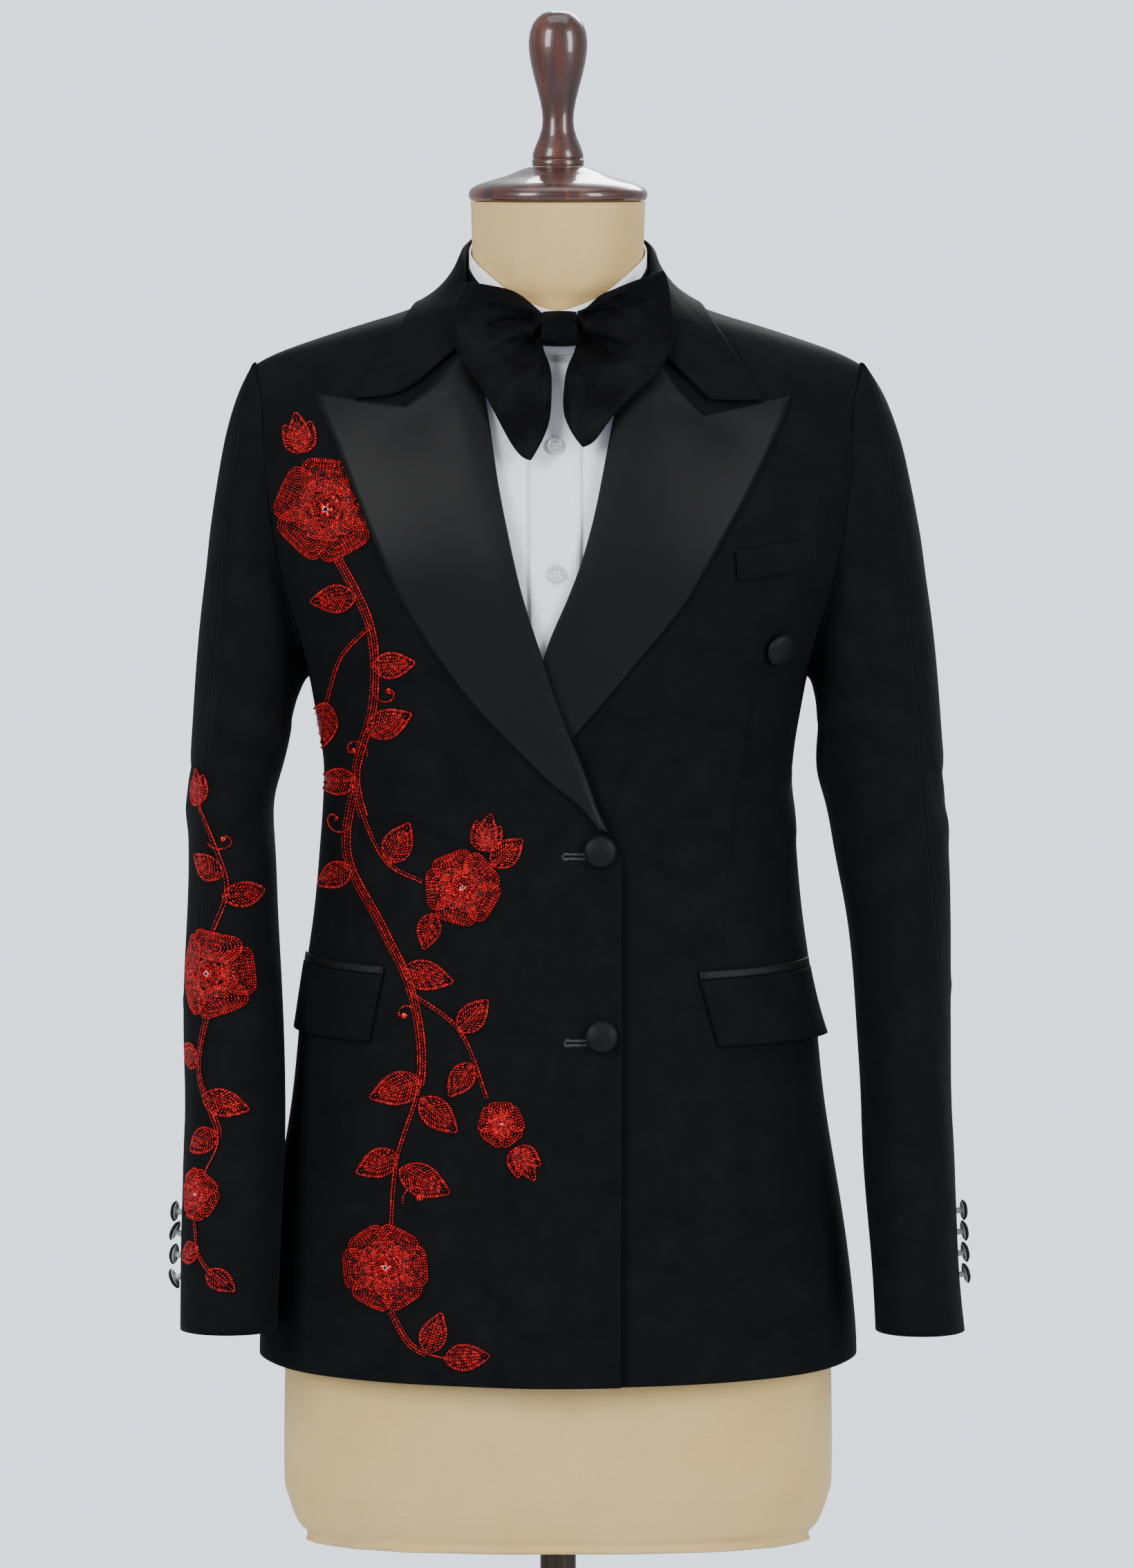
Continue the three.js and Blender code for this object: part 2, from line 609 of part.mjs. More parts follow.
const leftLapelRows = [
  { rollX: -12.3, rollZ: 1178, edgeX: -4, edgeZ: 1178, notch: 0 },
  { rollX: -12, rollZ: 1202, edgeX: 15, edgeZ: 1200, notch: 0 },
  { rollX: -12, rollZ: 1224, edgeX: 35, edgeZ: 1223, notch: 0 },
  { rollX: -9, rollZ: 1249, edgeX: 56, edgeZ: 1249, notch: 0 },
  { rollX: 1, rollZ: 1274, edgeX: 78, edgeZ: 1275, notch: 0 },
  { rollX: 8.5, rollZ: 1292, edgeX: 92, edgeZ: 1296, notch: 0 },
  { rollX: 15, rollZ: 1309, edgeX: 105, edgeZ: 1318, notch: 0 },
  { rollX: 22, rollZ: 1333, edgeX: 117, edgeZ: 1339, notch: 0.5 },
  { rollX: 28, rollZ: 1359, edgeX: 128, edgeZ: 1359, notch: 2 },
  { rollX: 33.5, rollZ: 1388, edgeX: 139, edgeZ: 1381, notch: 7 },
  { rollX: 40, rollZ: 1418, edgeX: 148.5, edgeZ: 1401, notch: 16 },
  { rollX: 46, rollZ: 1440, edgeX: 152.5, edgeZ: 1411, notch: 26 },
  { rollX: 51.5, rollZ: 1461, edgeX: 156, edgeZ: 1421, notch: 36 },
];
const lapelNotchShare = 0.43;
const layGap = 0.8;
const wrapNear = 1.6;
const wrapFar = 2;
const lapelWall = 1.5;
const rollPuff = 1.9;

function surfacePoint(x, z, side = -1) {
  return new THREE.Vector3(x, side * depthAt(x, z, side), z);
}

function lapel(name, rows, laps, puffOf) {
  const stations = 15;
  const shares = [0.12, 0.27, lapelNotchShare, 0.62, 0.81, 1];
  const outer = [];
  const inner = [];
  for (let r = 0; r < stations; r += 1) {
    const [rollX, rollZ, edgeX, edgeZ, notch] = onPath(rows, r / (stations - 1),
      ['rollX', 'rollZ', 'edgeX', 'edgeZ', 'notch']);
    const wide = Math.abs(edgeX - rollX);
    const far = [0, wrapNear, wrapFar, ...shares.map((share) => lerp(wrapFar, wide, share))];
    const outerLine = [];
    const innerLine = [];
    far.forEach((d, c) => {
      const share = d / wide;
      const bend = share < lapelNotchShare ? share / lapelNotchShare : (1 - share) / (1 - lapelNotchShare);
      const x = lerp(rollX, edgeX, share);
      const z = lerp(rollZ, edgeZ, share) - notch * Math.max(0, bend);
      const base = surfacePoint(x, z);
      const puff = rollPuff * Math.exp(-(((d - 6) / 16) ** 2)) - 2.4 * Math.exp(-d / 1.6);
      const top = layGap + lapelWall + puff * puffOf(z);
      outerLine.push(lifted(base, top, laps));
      innerLine.push(lifted(base, c < 2 ? -clothWall : layGap, laps));
    });
    outer.push(outerLine);
    inner.push(innerLine);
  }
  add(name, closedWall(outer, inner), colours.satin, 0.42);
}

lapel('lapel_right', rightLapelRows, true, () => 1);
lapel('lapel_left', leftLapelRows, false, (z) => ease(1244, 1285, z));

function gridNormals(grid) {
  return grid.map((line, r) => line.map((p, c) => {
    const down = grid[Math.min(r + 1, grid.length - 1)][c].clone().sub(grid[Math.max(r - 1, 0)][c]);
    const across = line[Math.min(c + 1, line.length - 1)].clone().sub(line[Math.max(c - 1, 0)]);
    return down.cross(across).normalize();
  }));
}

// The collar: a stand round the neck and a fall over it, a row for each station from its
// front end to the centre back. The fold is its top, the edge is the free edge of the fall, and
// the sag is how far the fall hollows in between them.

const collarRows = [
  {
    foldX: 55, foldY: -61, foldZ: 1461,
    edgeX: 137, edgeZ: 1419, edgeY: -66, stand: 1.5, upright: 0, sag: 0,
  },
  {
    foldX: 58, foldY: -50, foldZ: 1474,
    edgeX: 131, edgeZ: 1428, edgeY: -60, stand: 2, upright: 0.15, sag: 0,
  },
  {
    foldX: 61, foldY: -35, foldZ: 1487,
    edgeX: 123, edgeZ: 1441, edgeY: -55, stand: 4, upright: 0.4, sag: -1,
  },
  {
    foldX: 63.4, foldY: -20, foldZ: 1500,
    edgeX: 114, edgeZ: 1457, edgeY: -46, stand: 7, upright: 0.7, sag: -4,
  },
  {
    foldX: 64.8, foldY: -3, foldZ: 1512,
    edgeX: 104, edgeZ: 1471, edgeY: -31, stand: 12, upright: 1, sag: -7.5,
  },
  {
    foldX: 64.2, foldY: 14, foldZ: 1519,
    edgeX: 95, edgeZ: 1483, edgeY: -4, stand: 20, upright: 1, sag: -7,
  },
  {
    foldX: 59, foldY: 31, foldZ: 1525,
    edgeX: 91, edgeZ: 1478, edgeY: 26, stand: 27, upright: 1, sag: -3,
  },
  {
    foldX: 47, foldY: 47, foldZ: 1529,
    edgeX: 76, edgeZ: 1474, edgeY: 46, stand: 33, upright: 1, sag: 0,
  },
  {
    foldX: 30, foldY: 59.5, foldZ: 1532,
    edgeX: 50, edgeZ: 1476, edgeY: 62, stand: 38, upright: 1, sag: 1,
  },
  {
    foldX: 0, foldY: 66.6, foldZ: 1533,
    edgeX: 0, edgeZ: 1479, edgeY: 74, stand: 40, upright: 1, sag: 1.6,
  },
];
const collarWall = 1.4;
const collarFold = 1.8;
const gorgeGap = 0.9;

// Moves a point out of the body until it is clear of the surface by a distance.
function pushedOut(point, clear) {
  const moved = point.clone();
  for (let k = 0; k < 6; k += 1) {
    const gradient = gradientAt(moved);
    const short = clear + foldRise(moved) - field(moved.x, moved.y, moved.z) / gradient.length();
    if (short > 0) moved.addScaledVector(gradient.normalize(), short);
  }
  return moved;
}

// Height of a lapel's top edge at a distance across.
function gorgeZ(rows, across) {
  const top = rows[rows.length - 1];
  const share = (across - Math.abs(top.rollX)) / (Math.abs(top.edgeX) - Math.abs(top.rollX));
  const bend = share < lapelNotchShare ? share / lapelNotchShare : (1 - share) / (1 - lapelNotchShare);
  return lerp(top.rollZ, top.edgeZ, share) - top.notch * Math.max(0, bend);
}

function collarStation(row, hand, front, lapelRows) {
  const fold = new THREE.Vector3(hand * row.foldX, row.foldY, row.foldZ);
  const edge = new THREE.Vector3(hand * row.edgeX, row.edgeY, row.edgeZ);
  const clear = layGap + collarWall / 2 + 1.6;
  const foldBase = pushedOut(fold, clear);
  const upright = new THREE.Vector3(0, 0, 1);
  const up = normalAt(surfacePoint(fold.x, Math.min(fold.z, 1485), row.foldY < 0 ? -1 : 1))
    .lerp(upright, row.upright).normalize();
  const out = edge.clone().sub(foldBase);
  out.addScaledVector(up, -out.dot(up)).normalize();
  const top = foldBase.clone().addScaledVector(up, row.upright < 0.5 ? 1.6 : 0);
  const centre = top.clone().addScaledVector(up, -collarFold);
  const outside = centre.clone().addScaledVector(out, collarFold);
  const inside = centre.clone().addScaledVector(out, -collarFold);
  const line = [inside.clone().addScaledVector(up, -row.stand), inside, top, outside];
  for (const share of [0.2, 0.49, 0.75, 1]) {
    const point = outside.clone().lerp(edge, share);
    if (front) point.z = lerp(point.z, gorgeZ(lapelRows, Math.abs(point.x)) + gorgeGap, front);
    point.addScaledVector(out, row.sag * Math.sin(Math.PI * share));
    line.push(pushedOut(point, clear));
  }
  return line;
}

function collar() {
  const half = (hand) => {
    const lines = [];
    const stations = 10;
    for (let r = 0; r <= stations; r += 1) {
      const t = r / stations;
      const names = ['foldX', 'foldY', 'foldZ', 'edgeX', 'edgeZ', 'edgeY', 'stand', 'upright', 'sag'];
      const values = onPath(collarRows, t, names);
      const row = Object.fromEntries(names.map((name, i) => [name, values[i]]));
      lines.push(collarStation(row, hand, 1 - ease(0, 0.24, t), hand < 0 ? rightLapelRows : leftLapelRows));
    }
    return lines;
  };
  const right = half(-1);
  const left = half(1).reverse();
  const middle = [...right, ...left.slice(1)];
  const normals = gridNormals(middle);
  const shifted = (share) => middle.map((line, r) => line.map((p, c) => (
    p.clone().addScaledVector(normals[r][c], share * collarWall / 2))));
  add('collar', closedWall(shifted(1), shifted(-1)), colours.wool);
}

collar();

// Pockets: four corners each, as distance across or angle round the body, and height.

function patch(name, cut, wall, colour, roughness) {
  const outer = [];
  const inner = [];
  for (let r = 0; r <= cut.rows; r += 1) {
    const down = r / cut.rows;
    const outerLine = [];
    const innerLine = [];
    for (let c = 0; c <= cut.columns; c += 1) {
      const share = c / cut.columns;
      const from = lerp(cut.topIn.angle, cut.bottomIn.angle, down);
      const to = lerp(cut.topOut.angle, cut.bottomOut.angle, down);
      const zIn = lerp(cut.topIn.z, cut.bottomIn.z, down);
      const zOut = lerp(cut.topOut.z, cut.bottomOut.z, down);
      const base = ringPoint(cut.hand * lerp(from, to, share), lerp(zIn, zOut, share));
      const stands = layGap + (cut.flare ?? 0) * share * down * down;
      outerLine.push(lifted(base, stands + wall, cut.laps));
      innerLine.push(lifted(base, stands, cut.laps));
    }
    outer.push(outerLine);
    inner.push(innerLine);
  }
  add(name, closedWall(outer, inner), colour, roughness);
}

const corner = (x, z) => ({ angle: angleOf(x, z, -1), z });
const jetHigh = 5.6;
const pocketRows = [
  { word: 'right', hand: -1, innerX: 117, innerZ: 1038, outerAngle: 84, outerZ: 1043,
    lowInX: 126.6, lowInZ: 987, lowOutAngle: 87, lowOutZ: 991, flare: 1.2 },
  { word: 'left', hand: 1, innerX: 95, innerZ: 1035, outerAngle: 79, outerZ: 1040,
    lowInX: 107.8, lowInZ: 984.5, lowOutAngle: 84, lowOutZ: 987, flare: 5 },
];
for (const pocket of pocketRows) {
  const topIn = corner(pocket.innerX, pocket.innerZ);
  const topOut = { angle: pocket.outerAngle, z: pocket.outerZ };
  const under = (point, drop) => ({ angle: point.angle, z: point.z - drop });
  patch(`pocket_jet_${pocket.word}`, {
    hand: pocket.hand, rows: 1, columns: 7, topIn, topOut,
    bottomIn: under(topIn, jetHigh), bottomOut: under(topOut, jetHigh),
  }, 1.2, colours.satin, 0.42);
  patch(`pocket_flap_${pocket.word}`, {
    hand: pocket.hand, rows: 5, columns: 8, flare: pocket.flare,
    topIn: under(topIn, jetHigh + 0.35), topOut: under(topOut, jetHigh + 0.35),
    bottomIn: corner(pocket.lowInX, pocket.lowInZ),
    bottomOut: { angle: pocket.lowOutAngle, z: pocket.lowOutZ },
  }, clothWall, colours.wool, 0.8);
}
patch('breast_welt', {
  hand: 1, rows: 2, columns: 5,
  topIn: corner(119, 1319), topOut: corner(172, 1327),
  bottomIn: corner(120, 1299), bottomOut: corner(173, 1307),
}, 1.2, colours.wool, 0.8);

// Buttons: a turned profile on a base point, along the cloth's normal.

const coveredRows = [
  { radius: 3.2, rise: 0 }, { radius: 3.2, rise: 1.1 }, { radius: 9.9, rise: 1.3 },
  { radius: 10.8, rise: 2.5 }, { radius: 10, rise: 4.1 }, { radius: 7, rise: 5.6 },
  { radius: 3, rise: 6.3 },
];
const cuffButtonRows = [
  { radius: 1.6, rise: 0 }, { radius: 1.6, rise: 3 }, { radius: 6.4, rise: 3.4 },
  { radius: 7, rise: 4.5 }, { radius: 4.6, rise: 6.2 },
];
const shirtButtonRows = [
  { radius: 5.2, rise: 0 }, { radius: 6, rise: 0.6 }, { radius: 6, rise: 1.5 },
  { radius: 5.2, rise: 2 }, { radius: 4.2, rise: 1.6 },
];

function button(name, base, normal, rows, segments, colour, roughness) {
  const turn = new THREE.Quaternion().setFromUnitVectors(new THREE.Vector3(0, 0, 1), normal);
  const rings = rows.map((row) => {
    const ring = [];
    for (let k = 0; k < segments; k += 1) {
      const angle = (k / segments) * 2 * Math.PI;
      const point = new THREE.Vector3(row.radius * Math.cos(angle), row.radius * Math.sin(angle), row.rise);
      ring.push(point.applyQuaternion(turn).add(base));
    }
    return ring;
  });
  add(name, stackedRings(rings), colour, roughness);
}

function clothButton(name, x, z, out, laps, rows, segments, colour) {
  const base = surfacePoint(x, z);
  button(name, lifted(base, out, laps), normalAt(base), rows, segments, colour, 0.4);
}

clothButton('front_button_top', 28, 1117, 0.3, true, coveredRows, 15, colours.satin);
clothButton('front_button_low', 29, 992.5, layGap, true, coveredRows, 15, colours.satin);
clothButton('chest_button', 148, 1252, layGap, false, coveredRows, 15, colours.satin);

const cuffButtonHeights = [869, 854.6, 840.2, 825.8];
const cuffButtonAngle = 86;
const cuffButtonOut = 0.2;

// Each cuff button hangs loose on its shank: how far its face leans to the back and up.
const cuffButtonLeans = {
  right: [{ back: 0.3, up: 0.05 }, { back: 0.28, up: 0.45 }, { back: 0.4, up: 0.12 }, { back: 0.25, up: -0.45 }],
  left: [{ back: 0.22, up: 0.02 }, { back: 0.24, up: 0.14 }, { back: 0.26, up: 0.16 }, { back: 0.24, up: 0.2 }],
};
for (const sleeve of [
  { hand: -1, word: 'right', rows: rightSleeveRows },
  { hand: 1, word: 'left', rows: leftSleeveRows },
]) {
  sleeve.rising = sleeve.rows.slice().reverse();
  const first = sleeve.rows[0].z;
  const last = sleeve.rows[sleeve.rows.length - 1].z;
  cuffButtonHeights.forEach((z, i) => {
    const station = 1 + (first - z) / (first - last);
    const base = sleeveAt(sleeve, cuffButtonAngle, station);
    const normal = sleeveNormal(sleeve, cuffButtonAngle, station);
    const lean = cuffButtonLeans[sleeve.word][i];
    const axis = normal.clone().add(new THREE.Vector3(0, lean.back, lean.up)).normalize();
    base.addScaledVector(normal, cuffButtonOut);
    button(`cuff_button_${sleeve.word}_${i + 1}`, base, axis, cuffButtonRows, 10, colours.satin, 0.4);
  });
}

// Shirt: fronts, back, placket, collar band and two buttons.

const shirtWall = 1.2;
const shirtBottomZ = 905;
const shirtOut = (p) => -lerp(4.7, 4.13, ease(1385, 1450, p.z));
const shirtNeckZ = (low) => (x) => {
  const across = Math.abs(x);
  return across < neckPointX ? lerp(low, 1494, (across / neckPointX) ** 2.15) : ridgeZ(x);
};
const shirtFrontCut = {
  side: -1, columns: 9, topInner: 1450.5, topZ: shirtNeckZ(1450.5), sideShift: -0.1,
  bottomZ: shirtBottomZ, steps: shirtSteps, shoulderGap: seamGap / 2, shareOf: neckShare,
  armTrim: 0.08,
};
panel('shirt_front_right', { ...shirtFrontCut, hand: -1, innerX: () => -2 }, shirtOut, shirtWall,
  colours.shirt);
panel('shirt_front_left', { ...shirtFrontCut, hand: 1, innerX: () => -1.7 }, shirtOut, shirtWall,
  colours.shirt);

function shirtBack() {
  const cut = {
    side: 1, columns: 9, topInner: 1488, topZ: backTopZ, sideShift: 0.1, centreGap: 0,
    bottomZ: shirtBottomZ, steps: shirtSteps, shareOf: neckShare, armTrim: 0.08,
  };
  const right = panelGrid({ ...cut, hand: -1 });
  const left = panelGrid({ ...cut, hand: 1 });
  const grid = right.map((row, r) => [...row.slice().reverse(), ...left[r].slice(1)]);
  const moved = (extra) => grid.map((row) => row.map((p) => lifted(p, shirtOut(p) - extra, false)));
  const outer = moved(0);
  const inner = moved(shirtWall);
  for (const sheet of [outer, inner]) {
    sheet[sheet.length - 1].forEach((p) => {
      if (Math.abs(p.x) > neckPointX - 3) p.y += seamGap / 2;
    });
  }
  add('shirt_back', closedWall(outer, inner, false, cut.columns), colours.shirt);
}
shirtBack();

const placketWall = 1;
const placketGap = 0.8;
function placket() {
  const heights = [
    ...shirtSteps.map((step) => lerp(shirtBottomZ + 3, armpitZ, step)),
    ...upperSteps.slice(0, -1).map((step) => lerp(armpitZ, 1450.6, step)),
  ];
  const across = [-18.8, -9, 2, 15.5];
  const sheet = (extra) => {
    return heights.map((z) => across.map((x) => {
      const base = surfacePoint(x, z);
      return lifted(base, shirtOut(base) + placketGap + extra, false);
    }));
  };
  add('shirt_placket', closedWall(sheet(placketWall), sheet(0)), colours.shirt);
}
placket();

const studs = [
  { name: 'shirt_button_top', x: -2, z: 1390 },
  { name: 'shirt_button_low', x: -0.8, z: 1304 },
];
for (const stud of studs) {
  const base = surfacePoint(stud.x, stud.z);
  const out = shirtOut(base) + placketGap + placketWall + 0.3;
  button(stud.name, lifted(base, out, false), normalAt(base), shirtButtonRows, 14, colours.pearl, 0.25);
}

// Bands round the neck, by the angle from the front.
const shirtBandRows = [
  { angle: 0, low: 1449.3, high: 1479 }, { angle: 15, low: 1452, high: 1483 },
  { angle: 30, low: 1459, high: 1489.5 }, { angle: 50, low: 1474.5, high: 1502 },
  { angle: 70, low: 1488, high: 1511.5 }, { angle: 90, low: 1495.5, high: 1518 },
  { angle: 135, low: 1493, high: 1534 }, { angle: 180, low: 1491.5, high: 1540 },
];
const tieBandRows = [
  { angle: 0, low: 1458, high: 1474.5 }, { angle: 30, low: 1467.5, high: 1480 },
  { angle: 50, low: 1481.5, high: 1490.5 }, { angle: 70, low: 1493, high: 1501.5 },
  { angle: 90, low: 1496.5, high: 1509 }, { angle: 135, low: 1497, high: 1515 },
  { angle: 180, low: 1497, high: 1518 },
];

function neckBand(name, rows, radius, wall, colour) {
  const segments = 26;
  const heights = [0, 1];
  const sheet = (r) => heights.map((share) => {
    const ring = [];
    for (let k = 0; k < segments; k += 1) {
      const angle = (k / segments) * 360;
      const turn = Math.min(angle, 360 - angle);
      const z = lerp(along(rows, 'angle', turn, 'low'), along(rows, 'angle', turn, 'high'), share);
      ring.push(new THREE.Vector3(r * Math.sin(angle * degrees), -r * Math.cos(angle * degrees), z));
    }
    return ring;
  });
  add(name, closedWall(sheet(radius + wall), sheet(radius), true), colour);
}
neckBand('shirt_collar', shirtBandRows, 59.2, 1.1, colours.shirt);
neckBand('tie_band', tieBandRows, 60.6, 1.1, colours.velvet);

// Bow tie: two soft wings from outlines in the front view, and a knot.

const rightWing = {
  top: [{ x: -11, z: 1478 }, { x: -17, z: 1483 }, { x: -25.4, z: 1490 }, { x: -34.4, z: 1494 },
    { x: -47, z: 1496.5 }, { x: -59.8, z: 1498.5 }],
  low: [{ x: -11, z: 1453.5 }, { x: -5.6, z: 1443.5 }, { x: -4.4, z: 1430 }, { x: -5.2, z: 1412 },
    { x: -8.5, z: 1397.5 }, { x: -17.9, z: 1380.5 }],
  rim: [{ x: -59.8, z: 1498.5 }, { x: -67.3, z: 1483.7 }, { x: -69.6, z: 1467.2 }, { x: -68.4, z: 1454 },
    { x: -62, z: 1442.5 }, { x: -53.2, z: 1430.5 }, { x: -45.2, z: 1417.3 }, { x: -34.4, z: 1397.1 },
    { x: -25.4, z: 1383.9 }, { x: -17.9, z: 1380.5 }],
  folds: [{ share: 0.2, wide: 0.07, rise: -4.2 }, { share: 0.37, wide: 0.06, rise: 2.4 },
    { share: 0.52, wide: 0.07, rise: -3 }, { share: 0.74, wide: 0.09, rise: 1.6 }],
};
const leftWing = {
  top: [{ x: 13.2, z: 1479 }, { x: 20.2, z: 1482 }, { x: 27, z: 1488.6 }, { x: 38, z: 1494 },
    { x: 52, z: 1499.5 }, { x: 71.1, z: 1506 }],
  low: [{ x: 13.2, z: 1453.5 }, { x: 7.2, z: 1444 }, { x: 4.4, z: 1430 }, { x: 4, z: 1413 },
    { x: 8.4, z: 1400 }, { x: 16.5, z: 1389 }],
  rim: [{ x: 71.1, z: 1506 }, { x: 74.4, z: 1496 }, { x: 76.7, z: 1478 }, { x: 76.7, z: 1458 },
    { x: 70.1, z: 1443.7 }, { x: 60.2, z: 1431.4 }, { x: 45.6, z: 1419.2 }, { x: 32.5, z: 1404 },
    { x: 24.5, z: 1393 }, { x: 16.5, z: 1389 }],
  folds: [{ share: 0.14, wide: 0.06, rise: -4.6 }, { share: 0.3, wide: 0.08, rise: 2.2 },
    { share: 0.5, wide: 0.07, rise: -3.4 }, { share: 0.66, wide: 0.07, rise: 1.8 }],
};
const wingEdgeWall = 3;
const wingPuff = 8.5;

function wing(name, shape) {
  const rows = 7;
  const columns = 13;
  const outer = [];
  const inner = [];
  const at = (path, t) => onPath(path, t, ['x', 'z']);
  for (let r = 0; r <= rows; r += 1) {
    const outerLine = [];
    const innerLine = [];
    const out = r / rows;
    for (let c = 0; c <= columns; c += 1) {
      const share = c / columns;
      const [topX, topZ] = at(shape.top, out);
      const [lowX, lowZ] = at(shape.low, out);
      const [rimX, rimZ] = at(shape.rim, share);
      const knot = ['x', 'z'].map((key) => lerp(shape.top[0][key], shape.low[0][key], share));
      const ends = shape.rim.length - 1;
      const blend = (top, low, rim, near, name1) => lerp(top, low, share) + lerp(near, rim, out)
        - lerp(lerp(shape.top[0][name1], shape.low[0][name1], share),
          lerp(shape.rim[0][name1], shape.rim[ends][name1], share), out);
      const x = blend(topX, lowX, rimX, knot[0], 'x');
      const z = blend(topZ, lowZ, rimZ, knot[1], 'z');
      const tucked = 66 - 24 * ease(40, 80, Math.abs(x)) * ease(1462, 1506, z);
      const back = Math.max(tucked, depthAt(x, z, -1) + 9.5);
      let thick = wingEdgeWall + wingPuff * Math.sqrt(Math.max(0, Math.sin(Math.PI * share)))
        * Math.sin(Math.PI * clamp(0.16 + 0.84 * out, 0, 1)) ** 0.7;
      for (const fold of shape.folds) {
        const near = Math.exp(-(((share - fold.share) / fold.wide) ** 2));
        thick += fold.rise * near * (1 - 0.75 * out) * ease(0, 0.12, out) * ease(0, 0.1, 1 - out);
      }
      outerLine.push(new THREE.Vector3(x, -back - Math.max(2.2, thick), z));
      innerLine.push(new THREE.Vector3(x, -back, z));
    }
    outer.push(outerLine);
    inner.push(innerLine);
  }
  add(name, closedWall(outer, inner), colours.velvet);
}
wing('bow_wing_right', rightWing);
wing('bow_wing_left', leftWing);

function knot() {
  const stations = [
    { x: -10.4, size: 0.84 }, { x: -9, size: 0.96 }, { x: -3, size: 1 }, { x: 5, size: 1 },
    { x: 11, size: 0.96 }, { x: 12.4, size: 0.84 },
  ];
  const centre = { y: -73.4, z: 1467.4, deep: 11, high: 12 };
  add('bow_knot', stackedRings(stations.map(({ x, size }) => {
    const ring = [];
    for (let k = 0; k < 16; k += 1) {
      const angle = (k / 16) * 2 * Math.PI;
      const y = centre.y + centre.deep * size * power(Math.cos(angle), 0.75);
      ring.push(new THREE.Vector3(x, y, centre.z + centre.high * size * power(Math.sin(angle), 0.75)));
    }
    return ring;
  })), colours.velvet);
}
knot();

// Dress form: a limbless linen torso with its neck, a wooden cap, a finial, a pole and a base.

const torsoRows = [
  { z: 640, inset: 18, size: 0.88, cap: 205 }, { z: 645, inset: 18, size: 0.915, cap: 205 },
  { z: 650, inset: 18, size: 0.9385, cap: 205 }, { z: 660, inset: 18, size: 0.968, cap: 205 },
  { z: 673, inset: 18, size: 0.989, cap: 205 }, { z: 690, inset: 18, size: 1, cap: 205 },
  { z: 760, inset: 18, size: 1, cap: 205 }, { z: 820, inset: 16, size: 1, cap: 205 },
  { z: 880, inset: 12, size: 1, cap: 205 }, { z: 940, inset: 9, size: 1, cap: 205 },
  { z: 1000, inset: 8.5, size: 1, cap: 205 }, { z: 1060, inset: 8.5, size: 1, cap: 200 },
  { z: 1110, inset: 8.5, size: 1, cap: 190 }, { z: 1160, inset: 8.5, size: 1, cap: 180 },
  { z: 1200, inset: 8.5, size: 1, cap: 172 }, { z: 1236, inset: 8.5, size: 1, cap: 170 },
  { z: 1262, inset: 8.5, size: 1, cap: 172 }, { z: 1290, inset: 8.5, size: 1, cap: 176 },
  { z: 1320, inset: 8.5, size: 1, cap: 179 }, { z: 1355, inset: 8.5, size: 1, cap: 181 },
  { z: 1390, inset: 9, size: 1, cap: 180 }, { z: 1420, inset: 7, size: 1, cap: 181 },
  { z: 1441, inset: 6, size: 1, cap: 182 }, { z: 1452, inset: 5.5, size: 1, cap: 183 },
  { z: 1462, inset: 5.5, size: 1, cap: 183 }, { z: 1472, inset: 5.5, size: 1, cap: 183 },
  { z: 1480, inset: 5.5, size: 1, cap: 183 }, { z: 1488, inset: 5.5, size: 1, cap: 183 },
  { z: 1500, inset: 5.5, size: 1, cap: 183 }, { z: 1530, inset: 5.5, size: 1, cap: 183 },
  { z: 1552, inset: 5.5, size: 1, cap: 183 },
];
const neckRows = [
  { z: 1300, radius: 53 }, { z: 1484, radius: 53 }, { z: 1500, radius: 57 },
  { z: 1515, radius: 58.3 }, { z: 1542, radius: 58.6 },
  { z: 1552, radius: 59.3 },
];
const shoulderLower = 8;
const neckLower = 6;

function torsoRadius(dirX, dirY, row) {
  const side = dirY < 0 ? -1 : 1;
  const inside = (r) => {
    const x = r * dirX;
    const lower = shoulderLower + neckLower * Math.exp(-(((Math.abs(x) - 55) / 28) ** 2));
    const z = row.z + lower * ease(1380, 1441, row.z);
    return closingZ(x, side) > z && Math.abs(x) < halfAt(z) && Math.abs(r * dirY) < depthAt(x, z, side);
  };
  let low = 0;
  let high = 260;
  if (inside(20)) {
    for (let k = 0; k < 40; k += 1) {
      const middle = (low + high) / 2;
      if (inside(middle)) low = middle;
      else high = middle;
    }
    low = (low - row.inset) * row.size;
  }
  const capped = Math.abs(dirX) > 0.01 ? Math.min(low, row.cap / Math.abs(dirX)) : low;
  return Math.max(capped, along(neckRows, 'z', row.z, 'radius'));
}

const torsoSegments = 24;
add('form_torso', stackedRings(torsoRows.map((row) => {
  const ring = [];
  const wide = lerp(1.65, 1, ease(1480, 1500, row.z));
  for (let k = 0; k < torsoSegments; k += 1) {
    const angle = (k / torsoSegments) * 2 * Math.PI;
    const direction = new THREE.Vector2(wide * Math.sin(angle), -Math.cos(angle)).normalize();
    const r = torsoRadius(direction.x, direction.y, row);
    ring.push(new THREE.Vector3(r * direction.x, r * direction.y, row.z));
  }
  return ring;
})), colours.linen, 0.95);

